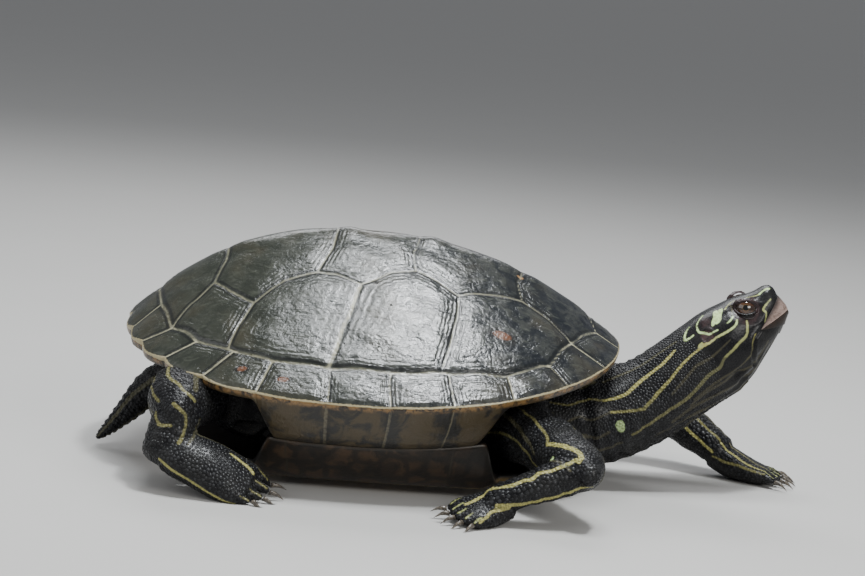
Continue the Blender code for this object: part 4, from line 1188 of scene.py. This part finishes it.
def scale_coat(name, bm, markings, route_names, face_part, seed, material):
    """A joined mesh of low domes, each with a flat base sunk in the skin."""
    rng = np.random.default_rng(seed)
    faces = [f for f, p in zip(bm.faces, face_part) if p in route_names]
    centres = np.array([f.calc_center_median()[:] for f in faces])
    spacing = scale_spacing(face_part[np.isin(face_part, route_names)], centres)
    points, normals, gaps = scatter(faces, spacing, rng)
    part, t, around, ahead = parts_of(points)
    _, height, raised = np.array([SCALE_SIZES[scale_kind(p)] for p in part]).T
    finer = (1 - 0.5 * smooth(0.7, 1.0, t)) * (1 - 0.4 * smooth(95, 115, np.abs(around)))
    above_floor = smooth(0.3, 1.4, points[:, 2])
    height = height * rng.uniform(0.8, 1.2, len(points)) * np.where(part == "neck", finer, 1.0) * above_floor
    verts, levels = scale_domes(points, normals, ahead, gaps, height, raised * above_floor)
    n, per = SCALE_SIDES, verts.shape[1]
    dome = [tuple(reversed(range(n)))]
    dome += [(k, (k + 1) % n, n + (k + 1) % n, n + k) for k in range(n)]
    dome += [(n + k, n + (k + 1) % n, 2 * n) for k in range(n)]
    data = bpy.data.meshes.new(name)
    data.from_pydata(verts.reshape(-1, 3).tolist(), [],
                     [tuple(i * per + k for k in face) for i in range(len(points)) for face in dome])
    unwrap_scales(data, part, t, around, route_names)
    marks = markings.at(verts.reshape(-1, 3))
    marks.update(tip=levels.ravel(), tone=np.repeat(rng.random(len(points)), per))
    make_piece(name, data, "skin", material, attributes=marks)


# ---------------------------------------------------------------- beak, eyes and claws

def beak(first, second):
    """A horn sheath: the slice of the head between two angles above the skull line from the mouth corner."""
    bm = bmesh.new()
    rows, places = skull_rows(130)
    keep = [(r, p) for r, p in zip(rows, places) if r[0] > MOUTH_CORNER[0] - 3]
    tube(bm, [r for r, _ in keep], [p for _, p in keep], 120, sink=-0.15)
    head = head_frame()
    corner = head @ Vector((MOUTH_CORNER[0], 0, MOUTH_CORNER[1]))
    for angle, outer in ((first, False), (second, True)):
        tilt = radians(angle)
        gap = GAP / 2 + 0.03
        normal = head.to_3x3() @ Vector((-sin(tilt), 0, cos(tilt)))
        at = corner + normal * (-gap if outer else gap)
        cut = bmesh.ops.bisect_plane(bm, geom=bm.verts[:] + bm.edges[:] + bm.faces[:], plane_co=at, plane_no=normal,
                                     clear_outer=outer, clear_inner=not outer)
        rim = [g for g in cut["geom_cut"] if isinstance(g, bmesh.types.BMEdge)]
        bmesh.ops.contextual_create(bm, geom=rim)
    bmesh.ops.remove_doubles(bm, verts=bm.verts, dist=0.02)
    bmesh.ops.recalc_face_normals(bm, faces=bm.faces)
    sharp = [e for e in bm.edges if len(e.link_faces) == 2 and e.calc_face_angle(0) > radians(50)]
    bmesh.ops.bevel(bm, geom=sharp, offset=0.22, segments=3, profile=0.5, affect="EDGES", material=-1,
                    clamp_overlap=True)
    bmesh.ops.recalc_face_normals(bm, faces=bm.faces)
    along, _, up, _ = head_places(coordinates(bm))
    angle = np.degrees(np.arctan2(up - MOUTH_CORNER[1], along - MOUTH_CORNER[0]))
    at_skin = second - angle if first > 0 else angle - first
    return bm, dict(border=at_skin / (second - first))


def eyeball(sign):
    """An eyeball with the iris' own measures on its points, taken across the way it looks."""
    bm = bmesh.new()
    along, across, up = EYE_PLACE
    bmesh.ops.create_uvsphere(bm, u_segments=64, v_segments=40, radius=EYE_RADIUS - 0.02)
    look = Vector((EYE_LOOK.x, EYE_LOOK.y * sign, EYE_LOOK.z))
    bmesh.ops.transform(bm, matrix=look.to_track_quat("Z", "Y").to_matrix().to_4x4(), verts=bm.verts)
    local = coordinates(bm) * np.array([1, sign, 1])
    measures = dict(level=local @ np.array(EYE_LEVEL), rise=local @ np.array(EYE_RISE))
    bmesh.ops.transform(bm, matrix=head_frame() @ Matrix.Translation((along, sign * across, up)), verts=bm.verts)
    return bm, measures


def claws():
    """Every claw: a slender curved cone from the end of its digit."""
    bm = bmesh.new()
    for paw in PAWS.values():
        for root, stretch, bend in digit_frames(paw):
            tip = Matrix.Translation((0, 0, bend)) @ root @ Matrix.Translation((stretch + GAP, 0, 0))
            rings = []
            for along in np.linspace(0, 1, 11):
                lift = 0.5 * sin(pi * along) - CLAW_DROOP * along ** 2
                place = tip @ Matrix.Translation((paw["claw"] * along, 0, lift))
                place = place @ Matrix.Rotation(radians(-20 + 55 * along) * -0.5, 4, "Y")
                size = CLAW_RADIUS * max(0.07, (1 - along) ** 0.75)
                rings.append(add_ring(bm, place, size * 0.8, size * 1.0, size * 0.85, 14, 2.0))
            bridge(bm, rings)
            on_floor([v for ring in rings for v in ring], DIGIT_CLEAR)
    return bm


# ---------------------------------------------------------------- finishes

def shell_finish():
    f = Finish("carapace_horn")
    seam, edge, spot = (f.attribute(n) for n in ("seam", "edge", "spot"))
    fleck, clear, middle = (f.attribute(n) for n in ("fleck", "clear", "middle"))
    lengthwise = f.node("ShaderNodeMapping", {}, {"Vector": f.place, "Scale": (0.22, 1.0, 1.0)})
    broad, mottle, fine = f.noise(0.035, 3, 0.6), f.noise(0.16, 5, 0.62, 0.6), f.noise(0.9, 4, 0.6)
    streak = f.noise(0.50, 4, 0.62, 0.4, lengthwise)
    ahead = f.node("ShaderNodeSeparateXYZ", {}, {0: f.place})
    pit = f.cells(0.13).fade(0.09, 0.045) * broad.fade(0.50, 0.56)

    # dark horn, paler and browner in clouds and worn in streaks
    dark = f.mix(mottle.fade(0.40, 0.62), rgb(0.008, 0.010, 0.013), rgb(0.027, 0.029, 0.027))
    dark = f.mix(ahead.fade(0.03, -0.10) * 0.50, dark, rgb(0.036, 0.040, 0.025))
    dark = f.mix(broad.fade(0.48, 0.70) * 0.50, dark, rgb(0.050, 0.042, 0.024))
    dark = f.mix(streak.fade(0.52, 0.72) * 0.35, dark, rgb(0.085, 0.092, 0.072))
    # a dark band beside each seam is painted shade of the sunk groove; small sunk pits are darker too
    groove_shade_band = seam.fade(0.5, 0.85) * seam.fade(1.9, 1.2)
    dark = f.mix((pit * 0.8).high(groove_shade_band * 0.75), dark, rgb(0.006, 0.007, 0.007))

    # rusty spots, pale flecks and pale seams
    mark = spot + mottle * 0.5 - 0.25
    marked = f.mix(mark.fade(1.75, 1.25) * 0.8, dark, rgb(0.010, 0.010, 0.009))
    marked = f.mix(mark.fade(1.05, 0.75) * 0.9, marked, rgb(0.11, 0.040, 0.016))
    marked = f.mix((fleck + fine * 0.6 - 0.3).fade(1.1, 0.6) * 0.7, marked, rgb(0.36, 0.20, 0.085))
    line = (seam + fine * 0.5 - 0.25).fade(0.52, 0.16) * (clear * 0.5 + 0.5)
    seamed = f.mix(line * 0.9, marked, f.mix(mottle.fade(0.4, 0.6), rgb(0.36, 0.34, 0.235), rgb(0.22, 0.21, 0.145)))

    # the rim's pale line and ochre side, and the underside
    rim = edge + fine * 0.8 + mottle * 0.5 - 0.65
    rimmed = f.mix(rim.fade(-0.55, -0.15), seamed, rgb(0.40, 0.345, 0.20))
    ochre = f.mix(f.noise(0.35, 4, 0.65, 0.5).fade(0.42, 0.60), rgb(0.20, 0.115, 0.042), rgb(0.030, 0.021, 0.013))
    rimmed = f.mix(rim.fade(0.20, 0.55), rimmed, ochre)
    # the underside's ochre is far darker than the rim's: its own dark smudges, and painted shade over it all
    smudge = (middle * 0.45 + f.noise(0.11, 4, 0.6, 0.8) * 2.0 - 0.72).fade(0.30, 0.66)
    below = f.mix(smudge, rgb(0.010, 0.009, 0.008), rgb(0.050, 0.036, 0.017))
    below = f.mix(fine.fade(0.5, 0.7) * mottle.fade(0.45, 0.6) * 0.4, below, rgb(0.070, 0.054, 0.028))
    below = f.mix((seam + fine * 0.5 - 0.25).fade(0.42, 0.12) * 0.6, below, rgb(0.16, 0.14, 0.09))
    colour = f.mix((rim + mottle * 2 - 1).fade(1.2, 3.0), rimmed, below)

    rough = mottle * 0.20 + fine * 0.16 + 0.04 + edge.fade(0.0, 3.0) * 0.18
    rings = f.node("ShaderNodeMath", {"operation": "SINE"}, {0: seam * 4.2 + mottle * 11 + broad * 8})
    growth = rings * seam.fade(7.5, 2.5) * mottle.fade(0.36, 0.6)
    worn = f.noise(0.40, 2, 0.5, 0.8)
    height = mottle * 0.8 + worn * 0.42 + fine * 0.15 + streak * 0.40 + growth * 0.09 - pit * 0.8
    return f.done(colour, rough, height, 0.42, Specular_IOR_Level=0.50)


def plastron_finish():
    f = Finish("plastron_horn")
    seam, climb, inner = (f.attribute(n) for n in ("seam", "climb", "inner"))
    cloud, fine = f.noise(0.06, 4, 0.6, 0.7), f.noise(0.7, 4, 0.6)
    astray = f.node("ShaderNodeVectorMath", {"operation": "SCALE"}, {0: cloud, "Scale": 0.012})
    astray = f.node("ShaderNodeVectorMath", {"operation": "ADD"}, {0: f.place, 1: astray})
    veins = f.cells(0.11, "DISTANCE_TO_EDGE", astray)
    cream = f.mix(cloud.fade(0.4, 0.65), rgb(0.40, 0.28, 0.13), rgb(0.27, 0.18, 0.080))
    colour = f.mix((seam + cloud * 16 - 8).fade(5.5, 2.0) * 0.85, cream, rgb(0.050, 0.036, 0.022))
    network = (veins + fine * 0.12 - 0.06).fade(0.22, 0.06)
    # the bridge's dark brown and its darker network of veins are made darker still as painted shade under the upper
    # shell
    brown = f.mix(cloud.fade(0.42, 0.6), rgb(0.048, 0.029, 0.016), rgb(0.020, 0.014, 0.010))
    brown = f.mix(network * 0.8, brown, rgb(0.009, 0.008, 0.007))
    colour = f.mix(climb.fade(0.0, 0.16), colour, brown)
    colour = f.mix(climb.fade(0.965, 0.99) * 0.18, colour, rgb(0.10, 0.08, 0.05))
    colour = f.mix(seam.fade(0.7, 0.3) * 0.8, colour, rgb(0.03, 0.025, 0.018))
    # the plate's inner top, inside the shell, is painted near black as shade
    colour = f.mix(inner.fade(0.1, 0.7), colour, rgb(0.010, 0.008, 0.007))
    return f.done(colour, fine * 0.2 + 0.28, cloud * 0.6 + fine * 0.5, 0.2, Specular_IOR_Level=0.35)


def skin_finish(name, on_scales):
    f = Finish(name)
    stripe, bright, pale, warm = (f.attribute(n) for n in ("stripe", "bright", "pale", "warm"))
    broad, fine, grain = f.noise(0.09, 3, 0.6), f.noise(1.6, 3, 0.6), f.noise(0.6, 4, 0.6)
    ground = f.mix(broad.fade(0.4, 0.65), rgb(0.006, 0.006, 0.007), rgb(0.014, 0.014, 0.014))
    ground = f.mix(fine.fade(0.55, 0.75) * 0.25, ground, rgb(0.040, 0.042, 0.046))
    ground = f.mix(warm * grain.fade(0.2, 0.7) * 0.85, ground, rgb(0.085, 0.045, 0.045))
    if on_scales:
        tip, tone = f.attribute("tip"), f.attribute("tone")
        # scale tops lighter and bluish grey, by a random amount for each scale: painted sheen, with the grooves
        # between scales left dark as painted shade
        ground = f.mix(tip.fade(0.4, 1.0) * tone.fade(0.1, 1.0) * 0.36, ground, rgb(0.060, 0.062, 0.066))
    stripe_colour = f.mix(pale, rgb(0.40, 0.37, 0.13), rgb(0.50, 0.66, 0.30))
    stripe_colour = f.mix(grain.fade(0.42, 0.70) * 0.5, stripe_colour, rgb(0.20, 0.21, 0.075))
    # bright holds each stripe's own tone together with the painted shade under the neck and head
    stripe_colour = f.mix(bright.fade(0.20, 0.48), rgb(0.105, 0.095, 0.055), stripe_colour)
    share = (stripe + fine * 0.4 + grain * 0.5 - 0.45).fade(0.22, -0.24) * (bright * 0.72 + 0.26)
    colour = f.mix(share, ground, stripe_colour)
    rough = fine * 0.25 + 0.16
    height = fine * 0.5 if on_scales else f.cells(0.9) * 0.4 + fine * 0.3
    return f.done(colour, rough, height, 0.12, Specular_IOR_Level=0.20)


def beak_finish(name, light, dark):
    f = Finish(name)
    border = f.attribute("border")
    streak = f.node("ShaderNodeMapping", {}, {"Vector": f.place, "Rotation": (0, HEAD_TILT + radians(8), 0),
                                              "Scale": (0.30, 1.0, 1.8)})
    grain, cloud = f.noise(1.2, 4, 0.6, vector=streak), f.noise(0.25, 3, 0.5)
    colour = f.mix(grain.fade(0.35, 0.65), rgb(*light), rgb(*dark))
    colour = f.mix(cloud.fade(0.45, 0.65) * 0.5, colour, rgb(*(1.35 * c for c in light)))
    colour = f.mix(border.fade(0.80, 0.96) * 0.55, colour, rgb(*(1.9 * c for c in light)))
    colour = f.mix((border + grain * 0.6 - 0.3).fade(0.50, 0.02) * 0.85, colour, rgb(0.018, 0.016, 0.016))
    return f.done(colour, grain * 0.2 + 0.24, grain, 0.10, Specular_IOR_Level=0.3)


def claw_finish():
    f = Finish("claw_horn")
    grain = f.noise(1.2, 3, 0.6)
    colour = f.mix(grain.fade(0.4, 0.65), rgb(0.050, 0.043, 0.036), rgb(0.125, 0.105, 0.080))
    return f.done(colour, grain * 0.15 + 0.18, grain, 0.05)


def eye_finish():
    f = Finish("eye_gloss")
    level, rise = f.attribute("level"), f.attribute("rise")
    squared = level * level + rise * rise
    out = squared.maths("POWER", squared, 0.5)
    fleck = f.noise(1.5, 4, 0.6)
    iris = f.mix(fleck.fade(0.4, 0.65), rgb(0.080, 0.032, 0.012), rgb(0.022, 0.010, 0.006))
    bar = (rise.maths("ABSOLUTE", rise) + fleck * 0.4 - 0.2).fade(1.25, 0.7)
    iris = f.mix(bar * 0.9, iris, rgb(0.020, 0.011, 0.007))
    iris = f.mix(out.fade(1.25, 1.1), iris, rgb(0.002, 0.002, 0.002))
    iris = f.mix(out.fade(1.15, 1.30) * out.fade(1.60, 1.40) * 0.30, iris, rgb(0.20, 0.13, 0.045))
    colour = f.mix(out.fade(3.6, 3.95), iris, rgb(0.02, 0.015, 0.012))
    return f.done(colour, 0.05, Coat_Weight=0.7, Coat_Roughness=0.02)


# ---------------------------------------------------------------- the model

def build():
    shells = (("carapace_shell", carapace, "shell", shell_finish, "carapace"),
              ("plastron_shell", plastron, "under_shell", plastron_finish, "plastron"))
    for name, make, slot, finish, replaced in shells:
        mesh, marks = make()
        make_piece(name, as_data(name, mesh), slot, finish(), (replaced,), marks)

    bm = skin_mesh()
    markings = Markings(bm)
    centres = np.array([f.calc_center_median()[:] for f in bm.faces])
    face_part = parts_of(centres)[0]
    face_part = np.where((face_part == "neck") & (head_places(centres)[0] > BARE_FROM), "head", face_part)
    scaled = skin_finish("scale_skin", True)
    sides = ("right_", "left_")
    coats = (("neck_scales", ("neck",)),
             ("arm_scales", tuple(s + n for s in sides for n in ("upper_arm", "forearm", "hand"))),
             ("leg_scales", (*(s + n for s in sides for n in ("thigh", "shank", "foot")), "tail")))
    for seed, (name, names) in enumerate(coats):
        scale_coat(name, bm, markings, names, face_part, 40 + seed, scaled)
    # the skin gets fewer faces where scales or the shell cover it, apart from its stripes
    places = coordinates(bm)
    plain_skin = (head_places(places)[0] < THINNED_BEHIND) & (markings.at(places)["stripe"] > PLAIN_FROM_STRIPE)
    bm = modified(bm, "DECIMATE", {"ratio": SKIN_FACES_KEPT}, plain_skin)
    painted = markings.at(coordinates(bm))
    flesh_nodes = ("trunk", "neck", "tail", "head", "lower_jaw", *LIMBS, *PAWS)
    make_piece("skin", as_data("skin", bm), "skin", skin_finish("soft_skin", False), flesh_nodes, painted)

    upper_horn = beak_finish("upper_beak_horn", (0.27, 0.20, 0.175), (0.12, 0.080, 0.062))
    # the lower beak is the same horn as the upper, painted about ten times darker as shade
    shaded_lower_horn = beak_finish("lower_beak_horn_shaded", (0.024, 0.015, 0.011), (0.009, 0.007, 0.006))
    for name, wedge, horn in (("upper_beak", (6, 35), upper_horn), ("lower_beak", (-18, 6), shaded_lower_horn)):
        mesh, marks = beak(*wedge)
        sheath = name + "_sheath"
        make_piece(sheath, as_data(sheath, mesh), "beak", horn, (name,), marks)
    gloss = eye_finish()
    for side, sign in (("right_eye", -1), ("left_eye", 1)):
        mesh, marks = eyeball(sign)
        make_piece(side + "ball", as_data(side + "ball", mesh), "eye", gloss, (side,), marks)
    names = [f"{name}_claw_{i + 1}" for name, paw in PAWS.items() for i in range(paw["digits"])]
    make_piece("claws", as_data("claws", claws()), "claw", claw_finish(), names)


# ---------------------------------------------------------------- floor, light and camera

def floor():
    bm = bmesh.new()
    bmesh.ops.create_grid(bm, x_segments=2, y_segments=2, size=60.0)
    data = as_data("floor", bm)
    data.transform(Matrix.Translation((0, 0, -0.0001)))
    f = Finish("pale_floor")
    grey = (0.48, 0.475, 0.46)
    clouded = f.mix(f.noise(0.02, 3, 0.5), rgb(*grey), rgb(*(c * 0.97 for c in grey)))
    data.materials.append(f.done(clouded, 0.6))
    add_object("floor", data)


def soft_light(name, place, size, power, colour=(1, 1, 1)):
    light = bpy.data.lights.new(name, "AREA")
    light.shape = "RECTANGLE"
    light.size, light.size_y = size
    light.energy = power
    light.color = colour
    item = add_object(name, light)
    item.location = place
    item.rotation_euler = (Vector((0, 0, 0.04)) - Vector(place)).to_track_quat("-Z", "Y").to_euler()


def studio():
    floor()
    soft_light("top_softbox", (0.0, -0.02, 0.95), (0.42, 0.22), 6, (0.95, 0.98, 1.0))
    soft_light("key_softbox", (0.14, -0.16, 0.90), (0.12, 0.07), 7, (0.95, 0.98, 1.0))
    soft_light("back_softbox", (-0.05, 0.75, 0.75), (0.7, 0.4), 5, (0.97, 0.98, 1.0))
    soft_light("side_softbox", (0.60, -0.85, 0.60), (0.55, 0.35), 6, (1.0, 0.98, 0.94))
    soft_light("rear_softbox", (-0.85, -0.45, 0.55), (1.0, 0.7), 3.5)
    world = bpy.data.worlds.new("studio_air")
    world.use_nodes = True
    world.node_tree.nodes["Background"].inputs["Color"].default_value = (0.78, 0.80, 0.84, 1)
    world.node_tree.nodes["Background"].inputs["Strength"].default_value = 0.36
    bpy.context.scene.world = world


def camera():
    """Low at the animal's right side, rolled a little, as far off as a long lens stands."""
    azimuth, elevation, roll, distance = radians(-3.7), radians(8.6), radians(5.6), 1000
    back = Vector((sin(azimuth) * cos(elevation), -cos(azimuth) * cos(elevation), sin(elevation)))
    level = Vector((cos(azimuth), sin(azimuth), 0))
    rise = back.cross(level)
    right = cos(roll) * level + sin(roll) * rise
    up = -sin(roll) * level + cos(roll) * rise
    aim = Vector((0, 0, 40)) + right * 24.9 + up * 32.1
    place = (aim + back * distance - ORIGIN) * MM
    lens = bpy.data.cameras.new("camera")
    lens.sensor_width = 36.0
    lens.lens = 101.55
    lens.clip_start, lens.clip_end = 0.01, 20
    item = add_object("camera", lens)
    item.matrix_world = Matrix.Translation(place) @ Matrix((right, up, back)).transposed().to_4x4()
    bpy.context.scene.camera = item


build()
studio()
camera()
